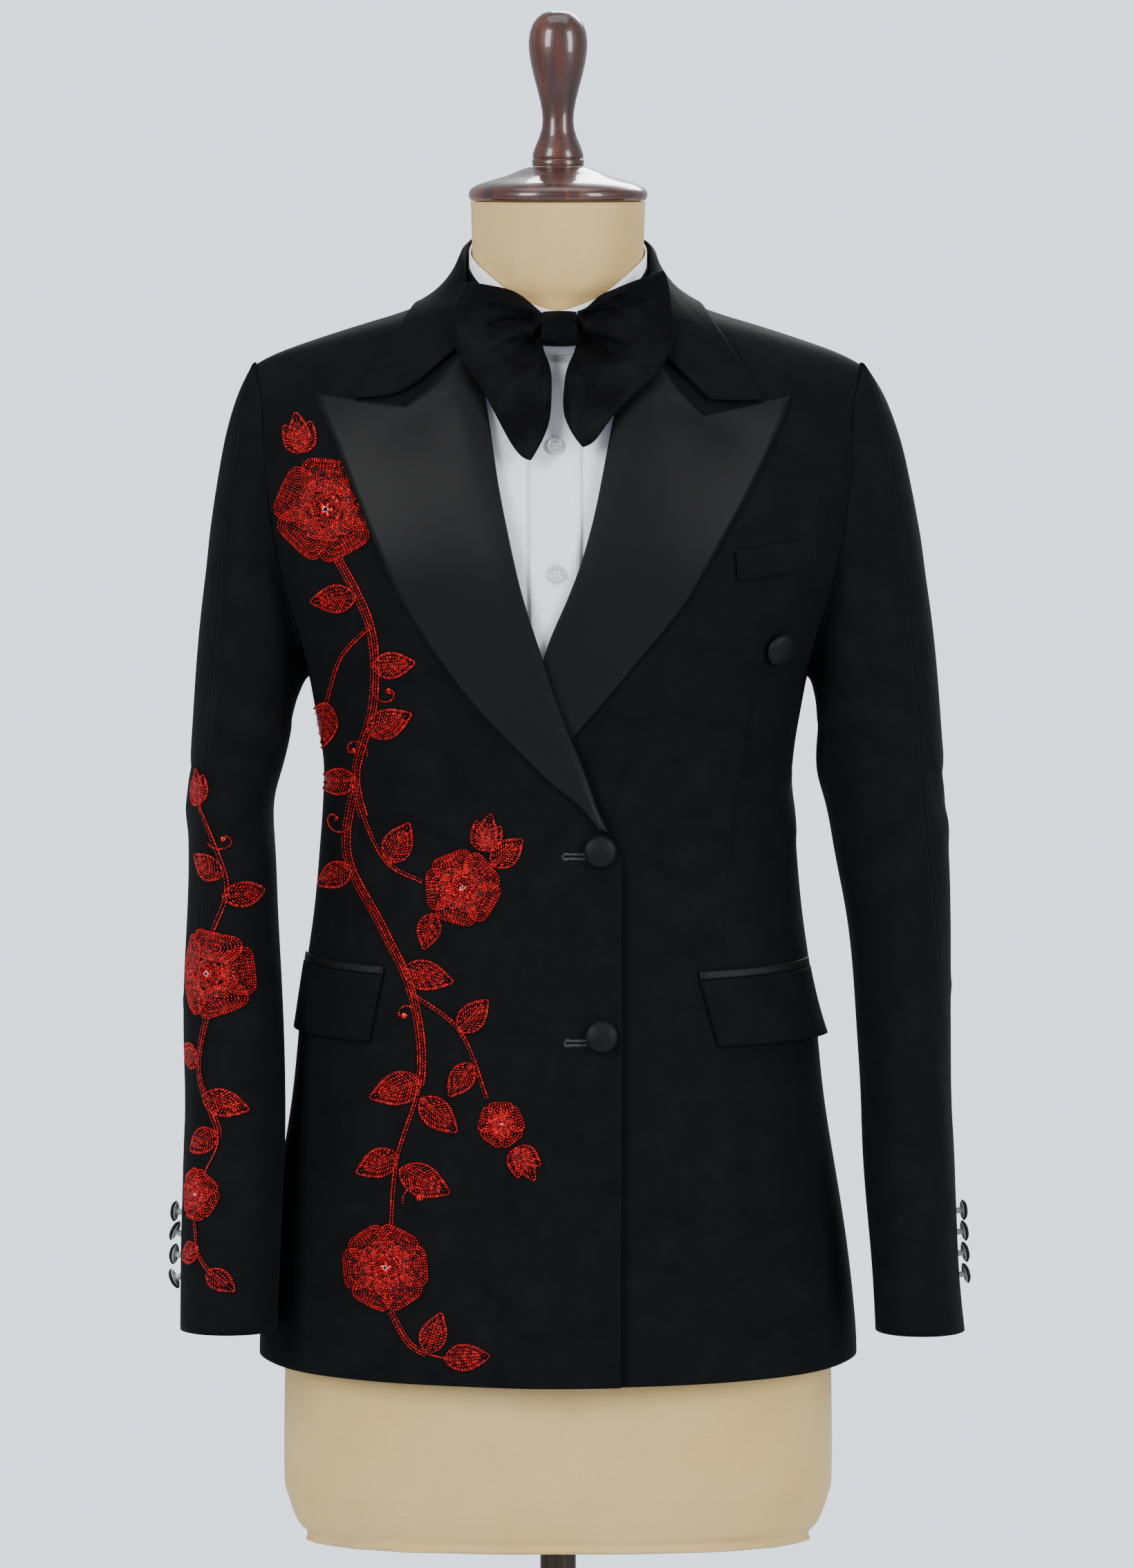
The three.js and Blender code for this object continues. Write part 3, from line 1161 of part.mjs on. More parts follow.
add('neck_cap', turned([
  { radius: 57, z: 1552.3 }, { radius: 60, z: 1553.6 }, { radius: 60.8, z: 1556.5 },
  { radius: 59.5, z: 1560 }, { radius: 54, z: 1563.5 }, { radius: 44, z: 1566.5 },
  { radius: 34, z: 1569.5 }, { radius: 26, z: 1573 }, { radius: 19.5, z: 1575.5 },
], 24), colours.wood, 0.3);
add('finial', turned([
  { radius: 17.4, z: 1575.8 }, { radius: 17.6, z: 1580 }, { radius: 16.8, z: 1580.8 },
  { radius: 17.3, z: 1582 }, { radius: 14.4, z: 1592 }, { radius: 10.6, z: 1602 },
  { radius: 10.7, z: 1612 }, { radius: 13.2, z: 1625.5 }, { radius: 16.7, z: 1637 },
  { radius: 19.2, z: 1648.5 }, { radius: 20, z: 1660 }, { radius: 17.6, z: 1671 },
  { radius: 13.4, z: 1677.5 }, { radius: 9, z: 1681 },
], 16), colours.wood, 0.3);
add('pole', turned([{ radius: 12.25, z: 12.3 }, { radius: 12.25, z: 639.7 }], 20), colours.pole, 0.3, 0.9);
add('stand_base', turned([
  { radius: 174, z: 0 }, { radius: 175, z: 1 }, { radius: 175, z: 6 }, { radius: 170, z: 10.5 },
  { radius: 158, z: 12 },
], 30), colours.pole, 0.35, 0.9);

export default group;
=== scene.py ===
# A tuxedo jacket with shirt front and bow tie on a dress form with a stand.
# Metres, Z up, the chest faces -Y and the wearer's right side is at -X. Tables are in millimetres.
import math
import bpy
import bmesh
import numpy as np
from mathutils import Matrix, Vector
from mathutils.bvhtree import BVHTree


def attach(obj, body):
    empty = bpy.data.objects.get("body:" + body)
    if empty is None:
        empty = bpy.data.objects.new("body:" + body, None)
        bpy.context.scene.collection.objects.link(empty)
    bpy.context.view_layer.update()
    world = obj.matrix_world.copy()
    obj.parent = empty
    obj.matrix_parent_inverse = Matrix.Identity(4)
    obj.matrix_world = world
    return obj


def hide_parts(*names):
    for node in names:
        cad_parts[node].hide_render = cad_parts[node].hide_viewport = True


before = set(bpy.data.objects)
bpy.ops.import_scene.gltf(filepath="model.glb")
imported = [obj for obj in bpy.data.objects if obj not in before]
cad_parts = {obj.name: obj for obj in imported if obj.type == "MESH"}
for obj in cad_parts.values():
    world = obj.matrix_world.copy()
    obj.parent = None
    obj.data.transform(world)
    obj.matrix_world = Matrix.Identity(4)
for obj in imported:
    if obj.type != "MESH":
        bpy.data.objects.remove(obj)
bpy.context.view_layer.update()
print("frame loaded:", len(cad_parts), "nodes")

mm = 0.001


def lerp(a, b, t):
    return a + (b - a) * t


def smooth(low, high, value):
    t = np.clip((value - low) / (high - low), 0, 1)
    return t * t * (3 - 2 * t)


def linearColour(hexCode):
    channels = [int(hexCode[i:i + 2], 16) / 255 for i in (1, 3, 5)]
    return [c / 12.92 if c <= 0.04045 else ((c + 0.055) / 1.055) ** 2.4 for c in channels] + [1.0]


# Materials.

def addNode(tree, kind, settings=None, links=None):
    node = tree.nodes.new(kind)
    for key, value in (settings or {}).items():
        setattr(node, key, value)
    for key, value in (links or {}).items():
        socket = node.inputs[key]
        if isinstance(value, bpy.types.NodeSocket):
            tree.links.new(value, socket)
        else:
            socket.default_value = value
    return node


def newMaterial(name, hexCode, values):
    material = bpy.data.materials.new(name)
    material.use_nodes = True
    tree = material.node_tree
    shader = tree.nodes["Principled BSDF"]
    shader.inputs["Base Color"].default_value = linearColour(hexCode)
    for key, value in values.items():
        shader.inputs[key].default_value = value
    material.diffuse_color = linearColour(hexCode)
    return material, tree, shader


def objectPoint(tree):
    return addNode(tree, "ShaderNodeTexCoord").outputs["Object"]


def clothPoint(tree):
    return addNode(tree, "ShaderNodeUVMap", {"uv_map": "cloth"}).outputs["UV"]


def mixed(tree, factor, first, second):
    node = addNode(tree, "ShaderNodeMix", {"data_type": "RGBA"}, {0: factor, 6: first, 7: second})
    return node.outputs[2]


def ramp(tree, value, stops):
    node = addNode(tree, "ShaderNodeValToRGB", {}, {"Fac": value})
    while len(node.color_ramp.elements) < len(stops):
        node.color_ramp.elements.new(0.5)
    for element, (place, colour) in zip(node.color_ramp.elements, stops):
        element.position = place
        element.color = colour
    return node.outputs["Color"]


def grey(value):
    return [value, value, value, 1.0]


def patches(tree, value, low, high, most=1.0):
    # Black below low and rising to most at high.
    return ramp(tree, value, [(low, grey(0)), (high, grey(most))])


def noise(tree, point, scale, detail, **more):
    values = {"Vector": point, "Scale": scale, "Detail": detail, **more}
    return addNode(tree, "ShaderNodeTexNoise", {}, values).outputs["Fac"]


def scaled(tree, point, scale):
    return addNode(tree, "ShaderNodeMapping", {}, {"Vector": point, "Scale": scale}).outputs[0]


def bands(tree, point, direction, periodMm, distortion, **more):
    waveScale = 2 * math.pi / 20 / (periodMm * mm)
    values = {"Vector": point, "Scale": waveScale, "Distortion": distortion, **more}
    node = addNode(tree, "ShaderNodeTexWave", {"wave_type": "BANDS", "bands_direction": direction}, values)
    return node.outputs["Fac"]


def coloured(tree, shader, factor, firstHex, secondHex):
    colour = mixed(tree, factor, linearColour(firstHex), linearColour(secondHex))
    tree.links.new(colour, shader.inputs["Base Color"])


def roughened(tree, shader, value, low, high):
    node = addNode(tree, "ShaderNodeMapRange", {}, {"Value": value, "To Min": low, "To Max": high})
    tree.links.new(node.outputs[0], shader.inputs["Roughness"])


def bumped(tree, shader, height, strength, distanceMm):
    values = {"Height": height, "Strength": strength, "Distance": distanceMm * mm}
    node = addNode(tree, "ShaderNodeBump", {}, values)
    tree.links.new(node.outputs["Normal"], shader.inputs["Normal"])


def woven(tree, point, warpMm, weftMm):
    # Two sets of threads that cross: the larger of the two shows at each place.
    loose = {"Detail": 1.0, "Detail Scale": 2.0}
    warp = bands(tree, point, "X", warpMm, 0.6, **loose)
    weft = bands(tree, point, "Y", weftMm, 0.6, **loose)
    return addNode(tree, "ShaderNodeMath", {"operation": "MAXIMUM"}, {0: warp, 1: weft}).outputs[0]


wool = {"colour": "#08090a", "light": "#0e0f10", "twillMm": 1.3, "twillTurn": 62, "mottleMm": 26}


def worstedWool():
    # Worsted wool, a fine black twill pressed flat: matt, with a faint fuzz that lightens its edges.
    material, tree, shader = newMaterial("wool_worsted", wool["colour"], {
        "Roughness": 0.8, "Specular IOR Level": 0.06, "Sheen Weight": 0.01, "Sheen Roughness": 0.45})
    point = clothPoint(tree)
    mottle = noise(tree, point, 1 / (wool["mottleMm"] * mm), 6.0, Roughness=0.62)
    coloured(tree, shader, patches(tree, mottle, 0.32, 0.72), wool["colour"], wool["light"])
    turned = addNode(tree, "ShaderNodeMapping", {}, {
        "Vector": point, "Rotation": (0, 0, math.radians(wool["twillTurn"]))})
    # The real twill is about 0.5 mm, drawn at 1.3 mm so that it shows.
    twill = bands(tree, turned.outputs[0], "X", wool["twillMm"], 1.2, **{"Detail": 2.0, "Detail Scale": 3.0})
    bumped(tree, shader, twill, 0.28, 0.12)
    return material


satin = {"colour": "#0b0b0c", "light": "#0f0f10", "ribMm": 1.0}


def silkSatin():
    # Silk satin, long floats over a fine rib: a soft wide sheen that runs across the lapel.
    material, tree, shader = newMaterial("satin_silk", satin["colour"], {
        "Roughness": 0.5, "Specular IOR Level": 0.13, "Sheen Weight": 0.01, "Sheen Roughness": 0.35,
        "Anisotropic": 0.35})
    point = clothPoint(tree)
    coloured(tree, shader, noise(tree, point, 32.0, 3.0), satin["colour"], satin["light"])
    bumped(tree, shader, bands(tree, point, "Y", satin["ribMm"], 0.5, Detail=1.0), 0.12, 0.08)
    return material


velvet = {"colour": "#070708", "light": "#111113", "sheen": "#5c5d60"}


def cottonVelvet():
    # Cotton velvet, a cut pile: it swallows light face on and glows a little at its turned edges.
    material, tree, shader = newMaterial("velvet_cotton", velvet["colour"], {
        "Roughness": 0.85, "Specular IOR Level": 0.06, "Sheen Weight": 0.26, "Sheen Roughness": 0.24,
        "Sheen Tint": linearColour(velvet["sheen"])})
    point = objectPoint(tree)
    crushed = patches(tree, noise(tree, point, 42.0, 2.0), 0.4, 0.68)
    coloured(tree, shader, crushed, velvet["colour"], velvet["light"])
    bumped(tree, shader, noise(tree, point, 900.0, 4.0), 0.35, 0.25)
    return material


poplin = {"colour": "#f3f4fa", "shade": "#ebedf4", "threadMm": 0.9}


def cottonPoplin():
    # Cotton poplin, a close plain weave, bleached and pressed: a clean matt white that leans to blue.
    material, tree, shader = newMaterial("poplin_cotton", poplin["colour"], {
        "Roughness": 0.72, "Specular IOR Level": 0.3, "Sheen Weight": 0.1})
    point = clothPoint(tree)
    coloured(tree, shader, noise(tree, point, 24.0, 3.0), poplin["colour"], poplin["shade"])
    # The real threads are 0.2 mm apart, drawn at 0.9 mm so that they show.
    bumped(tree, shader, woven(tree, point, poplin["threadMm"], poplin["threadMm"]), 0.12, 0.08)
    return material


linen = {"colour": "#c3a468", "warm": "#ccb07a", "dark": "#a3854f", "warpMm": 1.1, "weftMm": 1.3}


def naturalLinen():
    # Undyed linen glued over the padded form: a dry plain weave with slubs, a little soiled by handling.
    material, tree, shader = newMaterial("linen_natural", linen["colour"], {
        "Roughness": 0.9, "Specular IOR Level": 0.25, "Sheen Weight": 0.12})
    point = clothPoint(tree)
    soil = patches(tree, noise(tree, point, 9.0, 5.0, Roughness=0.6), 0.3, 0.7)
    base = mixed(tree, soil, linearColour(linen["colour"]), linearColour(linen["warm"]))
    slubs = patches(tree, noise(tree, scaled(tree, point, (120.0, 1300.0, 1.0)), 1.0, 2.0), 0.56, 0.8, 0.35)
    tree.links.new(mixed(tree, slubs, base, linearColour(linen["dark"])), shader.inputs["Base Color"])
    # The real threads are about 0.6 mm apart, drawn twice as coarse so that they show.
    bumped(tree, shader, woven(tree, point, linen["warpMm"], linen["weftMm"]), 0.22, 0.15)
    return material


lacquer = {"dark": "#1c0703", "mid": "#3c1408", "light": "#5f2b12"}


def lacqueredBeech():
    # Beech turned on a lathe, stained red-brown and lacquered: close grain under a clear glossy coat.
    material, tree, shader = newMaterial("beech_lacquered", lacquer["mid"], {
        "Roughness": 0.38, "Coat Weight": 0.85, "Coat Roughness": 0.09, "Specular IOR Level": 0.5})
    point = objectPoint(tree)
    grain = noise(tree, scaled(tree, point, (34.0, 34.0, 5.0)), 1.6, 5.0, Roughness=0.6, Distortion=1.4)
    tones = ((0.3, "dark"), (0.52, "mid"), (0.72, "light"))
    colour = ramp(tree, grain, [(spot, linearColour(lacquer[tone])) for spot, tone in tones])
    pores = noise(tree, scaled(tree, point, (900.0, 900.0, 70.0)), 1.0, 2.0)
    dark = patches(tree, pores, 0.55, 0.75, 0.6)
    tree.links.new(mixed(tree, dark, colour, linearColour(lacquer["dark"])), shader.inputs["Base Color"])
    bumped(tree, shader, pores, 0.08, 0.1)
    return material


bronze = {"colour": "#4a443d", "dark": "#2b2722", "light": "#5a5147"}


def bronzedSteel():
    # Steel tube with a dark bronze finish: smooth, with faint draw marks along it.
    material, tree, shader = newMaterial("steel_bronzed", bronze["colour"], {
        "Metallic": 1.0, "Roughness": 0.3})
    marks = noise(tree, scaled(tree, objectPoint(tree), (420.0, 420.0, 6.0)), 1.0, 4.0)
    roughened(tree, shader, marks, 0.22, 0.42)
    coloured(tree, shader, marks, bronze["dark"], bronze["light"])
    return material


pearl = {"colour": "#e6e6e4", "shade": "#9d9da0", "light": "#d6d6d6"}


def pearlPolyester():
    # Polyester cast with pearl flakes: milky, glossy, with clouds of light in it.
    material, tree, shader = newMaterial("polyester_pearl", pearl["colour"], {
        "Roughness": 0.18, "Coat Weight": 0.6, "Coat Roughness": 0.05})
    cloud = noise(tree, objectPoint(tree), 260.0, 3.0, Distortion=2.0)
    coloured(tree, shader, cloud, pearl["shade"], pearl["light"])
    return material


def glassBead(name, hexCode, darkHex, metallic, rough):
    # Pressed glass with a foil or silver lining: a deep colour with hard small lights.
    material, tree, shader = newMaterial(name, hexCode, {
        "Metallic": metallic, "Roughness": rough, "Coat Weight": 0.22, "Coat Roughness": 0.04,
        "Specular IOR Level": 0.25})
    patch = patches(tree, noise(tree, objectPoint(tree), 380.0, 1.0), 0.42, 0.62)
    coloured(tree, shader, patch, darkHex, hexCode)
    return material


def nickelPlate():
    # Nickel-plated brass: the bright ring that holds a covered button.
    material, tree, shader = newMaterial("nickel_plated", "#dfe2e0", {"Metallic": 0.25, "Roughness": 0.4})
    roughened(tree, shader, noise(tree, objectPoint(tree), 700.0, 2.0), 0.3, 0.45)
    return material


def blackThread():
    # Silk buttonhole twist: black, with a fine sheen on each stitch.
    material, tree, shader = newMaterial("thread_silk", "#161617", {
        "Roughness": 0.4, "Specular IOR Level": 0.5})
    bumped(tree, shader, noise(tree, objectPoint(tree), 1500.0, 2.0), 0.3, 0.1)
    return material


finish = {
    "wool": worstedWool(), "satin": silkSatin(), "velvet": cottonVelvet(), "poplin": cottonPoplin(),
    "linen": naturalLinen(), "wood": lacqueredBeech(), "steel": bronzedSteel(), "pearl": pearlPolyester(),
    "ruby": glassBead("glass_ruby", "#c80005", "#760002", 0.3, 0.3),
    "garnet": glassBead("glass_garnet", "#8e0004", "#3e0001", 0.3, 0.32),
    # Pale pink-white glass: its colour is a painted highlight that stands in for the sparkle of the red
    # beads.
    "crystal": glassBead("glass_crystal", "#f4dfe2", "#d98a92", 0.7, 0.1),
    "spangle": glassBead("foil_spangle", "#d80a10", "#960408", 0.7, 0.22),
    "nickel": nickelPlate(), "thread_black": blackThread(),
}
print("materials made:", len(finish))


# Meshes.

def place(name, mesh, material, slotName=None, replaced=()):
    piece = bpy.data.objects.new(name, mesh)
    bpy.context.scene.collection.objects.link(piece)
    mesh.materials.clear()
    mesh.materials.append(material)
    for polygon in mesh.polygons:
        polygon.use_smooth = True
    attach(piece, "root")
    if replaced:
        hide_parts(*replaced)
    return piece


def points(mesh):
    flat = np.zeros(len(mesh.vertices) * 3, np.float32)
    mesh.vertices.foreach_get("co", flat)
    return flat.reshape(-1, 3).astype(float)


def setPoints(mesh, at):
    mesh.vertices.foreach_set("co", at.astype(np.float32).ravel())
    mesh.update()


# Corners nearer than sameSpot, in metres, are one corner.
sameSpot = 0.000005
fittingRounds = 4


def evaluatedMesh(holder):
    depsgraph = bpy.context.evaluated_depsgraph_get()
    return bpy.data.meshes.new_from_object(holder.evaluated_get(depsgraph))


def subdivided(nodeName, levels, sharpDegrees=48, hard=1.0):
    # A copy of the node's mesh as quads, refined, that still passes through all its points.
    work = bmesh.new()
    work.from_mesh(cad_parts[nodeName].data)
    bmesh.ops.remove_doubles(work, verts=work.verts, dist=sameSpot)
    bmesh.ops.join_triangles(work, faces=work.faces, angle_face_threshold=math.radians(60),
                             angle_shape_threshold=math.radians(179))
    bmesh.ops.recalc_face_normals(work, faces=work.faces)
    layer = work.edges.layers.float.get("crease_edge") or work.edges.layers.float.new("crease_edge")
    for edge in work.edges:
        if len(edge.link_faces) == 2 and edge.calc_face_angle(0) > math.radians(sharpDegrees):
            edge[layer] = hard
    mesh = bpy.data.meshes.new(nodeName + "_cage")
    work.to_mesh(mesh)
    work.free()
    holder = bpy.data.objects.new("holder", mesh)
    bpy.context.scene.collection.objects.link(holder)
    modifier = holder.modifiers.new("finer", "SUBSURF")
    modifier.levels = levels
    modifier.render_levels = levels
    goal = points(mesh)
    for fitting in range(fittingRounds):
        shape = evaluatedMesh(holder)
        setPoints(mesh, points(mesh) + goal - points(shape)[:len(goal)])
        bpy.data.meshes.remove(shape)
    shape = evaluatedMesh(holder)
    bpy.data.objects.remove(holder)
    bpy.data.meshes.remove(mesh)
    shape.name = nodeName + "_cloth"
    return shape


def fold(view, rise, wide, *line, fade=(0.3, 0.3)):
    # A soft trough or ridge in cloth, in millimetres: its height, its width and the line that it follows.
    return {"view": view, "rise": rise, "wide": wide, "line": line, "fade": fade}


def nearestOn(line, across, up):
    # How far each place lies from a line of points, and the share of the line up to its nearest point.
    lengths = [math.dist(a, b) for a, b in zip(line, line[1:])]
    nearest = np.full(across.shape, 1e9)
    share = np.zeros(across.shape)
    done = 0.0
    for (ax, az), (bx, bz), length in zip(line, line[1:], lengths):
        t = np.clip(((across - ax) * (bx - ax) + (up - az) * (bz - az)) / length ** 2, 0, 1)
        far = np.hypot(across - lerp(ax, bx, t), up - lerp(az, bz, t))
        closer = far < nearest
        nearest = np.where(closer, far, nearest)
        share = np.where(closer, (done + t * length) / sum(lengths), share)
        done += length
    return nearest, share


def foldRise(across, up, stroke):
    # How far a fold lifts each place.
    nearest, share = nearestOn(stroke["line"], across, up)
    start, end = stroke["fade"]
    taper = smooth(0, start, share) * smooth(0, end, 1 - share)
    return stroke["rise"] * taper * np.exp(-(nearest / stroke["wide"]) ** 2)


def facing(view, at, centre):
    # How much of a fold seen from one side shows at each place, and the way across it.
    side, sign, low, high = {"front": (1, -1, -12, 14), "back": (1, 1, -12, 14),
                             "left": (0, 1, -6, 16), "right": (0, -1, -6, 16)}[view]
    return smooth(low, high, sign * (at[:, side] - centre[:, side])), at[:, 1 - side]


def axisAt(axis, z):
    return np.interp(z, axis["z"], axis["x"]), np.interp(z, axis["z"], axis["y"])


def draped(mesh, axis, folds):
    # Moves the cloth in and out from its own axis by its folds.
    at = points(mesh) * 1000
    centre = np.stack(axisAt(axis, at[:, 2]), axis=1)
    away = at[:, :2] - centre
    away[:, 1] *= axis.get("stretch", 1.0)
    away /= np.maximum(np.linalg.norm(away, axis=1), 1e-6)[:, None]
    rise = np.zeros(len(at))
    for stroke in folds:
        shown, across = facing(stroke["view"], at, centre)
        rise += shown * foldRise(across, at[:, 2], stroke)
    at[:, :2] += away * rise[:, None]
    setPoints(mesh, at / 1000)


def clothMap(mesh, axis, radius):
    # The cloth's own flat coordinates in metres: round its axis, and up.
    at = points(mesh) * 1000
    x, y = axisAt(axis, at[:, 2])
    turn = np.arctan2(at[:, 0] - x, y - at[:, 1])
    flat = np.stack([turn * radius, at[:, 2]], axis=1) * mm
    loops = np.zeros(len(mesh.loops), np.int32)
    mesh.loops.foreach_get("vertex_index", loops)
    layer = mesh.uv_layers.get("cloth") or mesh.uv_layers.new(name="cloth")
    values = flat[loops]
    starts = np.zeros(len(mesh.polygons), np.int32)
    counts = np.zeros(len(mesh.polygons), np.int32)
    mesh.polygons.foreach_get("loop_start", starts)
    mesh.polygons.foreach_get("loop_total", counts)
    # A face that spans the back of the axis keeps its corners together.
    wrap = 2 * math.pi * radius * mm
    for corner in range(1, 4):
        has = counts > corner
        first = values[starts[has], 0]
        here = values[starts[has] + corner, 0]
        values[starts[has] + corner, 0] = here - wrap * np.round((here - first) / wrap)
    layer.data.foreach_set("uv", values.astype(np.float32).ravel())


cuts = []


def declare(piece, flat, share):
    # Size of the cut in millimetres, and the share of that rectangle that the shape fills.
    width, length = flat[0] * mm, flat[1] * mm
    half = sum(polygon.area for polygon in piece.data.polygons) / 2
    cuts.append((piece.name, flat, round(half / (width * length), 3), share))


bodyAxis = {"z": [600, 1600], "x": [0, 0], "y": [0, 0], "stretch": 1.6}


def clothPiece(nodeName, look, axis, folds=(), radius=150):
    mesh = subdivided(nodeName, look["levels"])
    draped(mesh, axis, folds)
    clothMap(mesh, axis, radius)
    piece = place(nodeName + "_cloth", mesh, finish[look["finish"]], look["slot"], [nodeName])
    mesh.set_sharp_from_angle(angle=math.radians(55))
    return piece


# The jacket's body.

jacket = {
    "front": {"levels": 3, "finish": "wool", "slot": "wool"},
    "back": {"levels": 2, "finish": "wool", "slot": "wool"},
    "sleeve": {"levels": 3, "finish": "wool", "slot": "wool"},
    "lapel": {"levels": 2, "finish": "satin", "slot": "satin"},
    "collar": {"levels": 2, "finish": "wool", "slot": "wool"},
    "flap": {"levels": 2, "finish": "wool", "slot": "wool"},
    "jet": {"levels": 2, "finish": "satin", "slot": "satin"},
}

frontFolds = [
    fold("front", -1.3, 2.6, (136, 1229), (122, 1153), (115, 1073), (115, 1046), fade=(0.12, 0.05)),
    fold("front", 0.9, 7, (130, 1220), (116, 1150), (109, 1075)),
    fold("front", -1.1, 2.6, (-137, 1226), (-136, 1130), (-137, 1048), fade=(0.15, 0.05)),
    fold("front", -1.4, 4.5, (139, 1176), (131, 1165), (118, 1158)),
    fold("front", -1.1, 4, (136, 1160), (127, 1150), (112, 1146)),
    fold("front", -2.3, 9, (52, 1137), (84, 1163), (122, 1214)),
    fold("front", 1.9, 11, (60, 1128), (96, 1150), (140, 1190)),
    fold("front", 1.5, 8, (48, 1148), (72, 1176), (96, 1226)),
    fold("front", -1.4, 10, (50, 1104), (90, 1092), (128, 1099)),
    fold("front", -1.7, 10, (-20, 1132), (-62, 1152), (-104, 1196)),
    fold("front", 1.5, 11, (-10, 1118), (-62, 1128), (-124, 1158)),
    fold("front", -1.2, 11, (-4, 1098), (-56, 1086), (-110, 1092)),
    fold("front", -1.5, 5.5, (160, 1392), (163, 1352), (161, 1326)),
    fold("front", 1.3, 6, (172, 1396), (173, 1350), (170, 1327)),
    fold("front", -1.4, 6, (182, 1380), (184, 1340), (178, 1290)),
    fold("front", -1.5, 7, (-183, 1390), (-186, 1342), (-178, 1282)),
    fold("front", 1.2, 8, (-170, 1330), (-168, 1290), (-156, 1244)),
    fold("front", -1.2, 7, (156, 1290), (150, 1240), (128, 1196)),
    fold("front", 1.9, 20, (96, 980), (104, 900), (118, 775), fade=(0.5, 0.1)),
    fold("front", -1.7, 17, (70, 930), (74, 860), (80, 768), fade=(0.5, 0.1)),
    fold("front", 1.7, 20, (-72, 960), (-84, 870), (-92, 768), fade=(0.5, 0.1)),
    fold("front", -1.3, 18, (-30, 900), (-38, 840), (-42, 766), fade=(0.5, 0.1)),
    fold("front", -1.4, 14, (-150, 960), (-158, 880), (-160, 775), fade=(0.4, 0.1)),
    fold("front", -0.8, 1.8, (38.6, 1106), (38.6, 1000), (38.6, 762), fade=(0.05, 0.02)),
    fold("left", -1.6, 8, (20, 1180), (-20, 1150), (-60, 1142)),
    fold("left", 1.3, 9, (30, 1150), (-10, 1128), (-52, 1122)),
    fold("right", -1.5, 9, (24, 1188), (-18, 1158), (-56, 1150)),
]
backFolds = [
    fold("back", -1.9, 10, (24, 1150), (78, 1172), (126, 1216)),
    fold("back", 1.6, 12, (18, 1124), (80, 1134), (138, 1168)),
    fold("back", -1.4, 11, (14, 1098), (70, 1088), (130, 1100)),
    fold("back", -1.8, 10, (-20, 1160), (-70, 1190), (-112, 1236)),
    fold("back", 1.5, 12, (-22, 1130), (-82, 1148), (-140, 1190)),
    fold("back", -1.3, 11, (-12, 1104), (-74, 1094), (-134, 1110)),
    fold("back", -2.2, 8, (168, 1400), (172, 1340), (158, 1268)),
    fold("back", 1.4, 10, (150, 1390), (152, 1330), (140, 1270)),
    fold("back", -2.1, 8, (-170, 1396), (-174, 1334), (-160, 1262)),
    fold("back", 1.5, 10, (-150, 1384), (-154, 1326), (-144, 1264)),
    fold("back", 2.2, 22, (60, 980), (76, 880), (92, 772), fade=(0.5, 0.1)),
    fold("back", -1.6, 16, (28, 940), (30, 860), (34, 770), fade=(0.5, 0.1)),
    fold("back", 2.0, 21, (-52, 970), (-66, 880), (-84, 772), fade=(0.5, 0.1)),
    fold("back", -1.7, 17, (-126, 940), (-136, 860), (-140, 774), fade=(0.5, 0.1)),
    fold("back", -1.5, 17, (124, 930), (134, 850), (138, 772), fade=(0.5, 0.1)),
    fold("back", -1.1, 7, (-44, 1462), (0, 1456), (46, 1461)),
]

pieces = {}
for hand in ("right", "left"):
    pieces["front_" + hand] = clothPiece("front_" + hand, jacket["front"], bodyAxis, frontFolds)
    pieces["back_" + hand] = clothPiece("back_" + hand, jacket["back"], bodyAxis, backFolds)
    declare(pieces["front_" + hand], (340 if hand == "right" else 320, 760), 0.7)
    declare(pieces["back_" + hand], (290, 750), 0.75)
print("jacket body made")


# Sleeves.

sleeveAxis = {
    "right": {"z": [791, 862, 909, 956, 1003, 1050, 1097, 1144, 1191, 1300, 1441],
              "x": [-223, -221, -219.5, -219, -220.5, -221, -221, -222, -215, -207, -200],
              "y": [-62.5, -51.5, -43, -34.5, -26, -18.5, -12, -8, -4, 0, 0]},
    "left": {"z": [789, 862, 909, 956, 1003, 1050, 1097, 1144, 1191, 1300, 1441],
             "x": [245.5, 240.5, 238, 236, 234.5, 233, 229, 222, 218, 209, 200],
             "y": [-51, -41, -33.5, -26, -19.5, -13.5, -9, -6, -3, 0, 0]},
}
leftSleeveFolds = [
    fold("front", -2.2, 5, (178, 1222), (194, 1216), (212, 1222)),
    fold("front", 1.8, 5, (176, 1206), (192, 1200), (216, 1210)),
    fold("front", -2.0, 5, (178, 1190), (196, 1186), (214, 1196)),
    fold("front", 1.4, 6, (184, 1170), (200, 1166), (220, 1176)),
    fold("front", -1.6, 4.5, (206, 1240), (216, 1230), (226, 1216)),
    fold("front", -1.8, 5, (252, 1176), (257, 1158), (261, 1132)),
    fold("front", 1.7, 8, (221, 1400), (223, 1250), (231, 1080), (240, 930), fade=(0.2, 0.3)),
    fold("front", -1.5, 6, (208, 1380), (205, 1300), (204, 1240)),
    fold("front", -1.5, 6, (236, 1010), (222, 1000), (208, 1002)),
    fold("front", 1.2, 7, (240, 980), (226, 968), (212, 966)),
    fold("left", -1.6, 8, (-30, 1176), (0, 1160), (34, 1166)),
    fold("left", 1.3, 9, (-34, 1140), (2, 1122), (36, 1130)),
    fold("left", -1.7, 7, (24, 1060), (8, 1044), (-12, 1040)),
    fold("left", 1.5, 8, (18, 1036), (2, 1020), (-20, 1018)),
    fold("left", -1.3, 7, (10, 1010), (-6, 998), (-26, 998)),
    fold("left", 1.2, 11, (-2, 1420), (4, 1360), (0, 1290)),
    fold("back", -1.6, 8, (206, 1190), (222, 1178), (244, 1184)),
    fold("back", -1.4, 8, (208, 1060), (226, 1050), (246, 1058)),
]
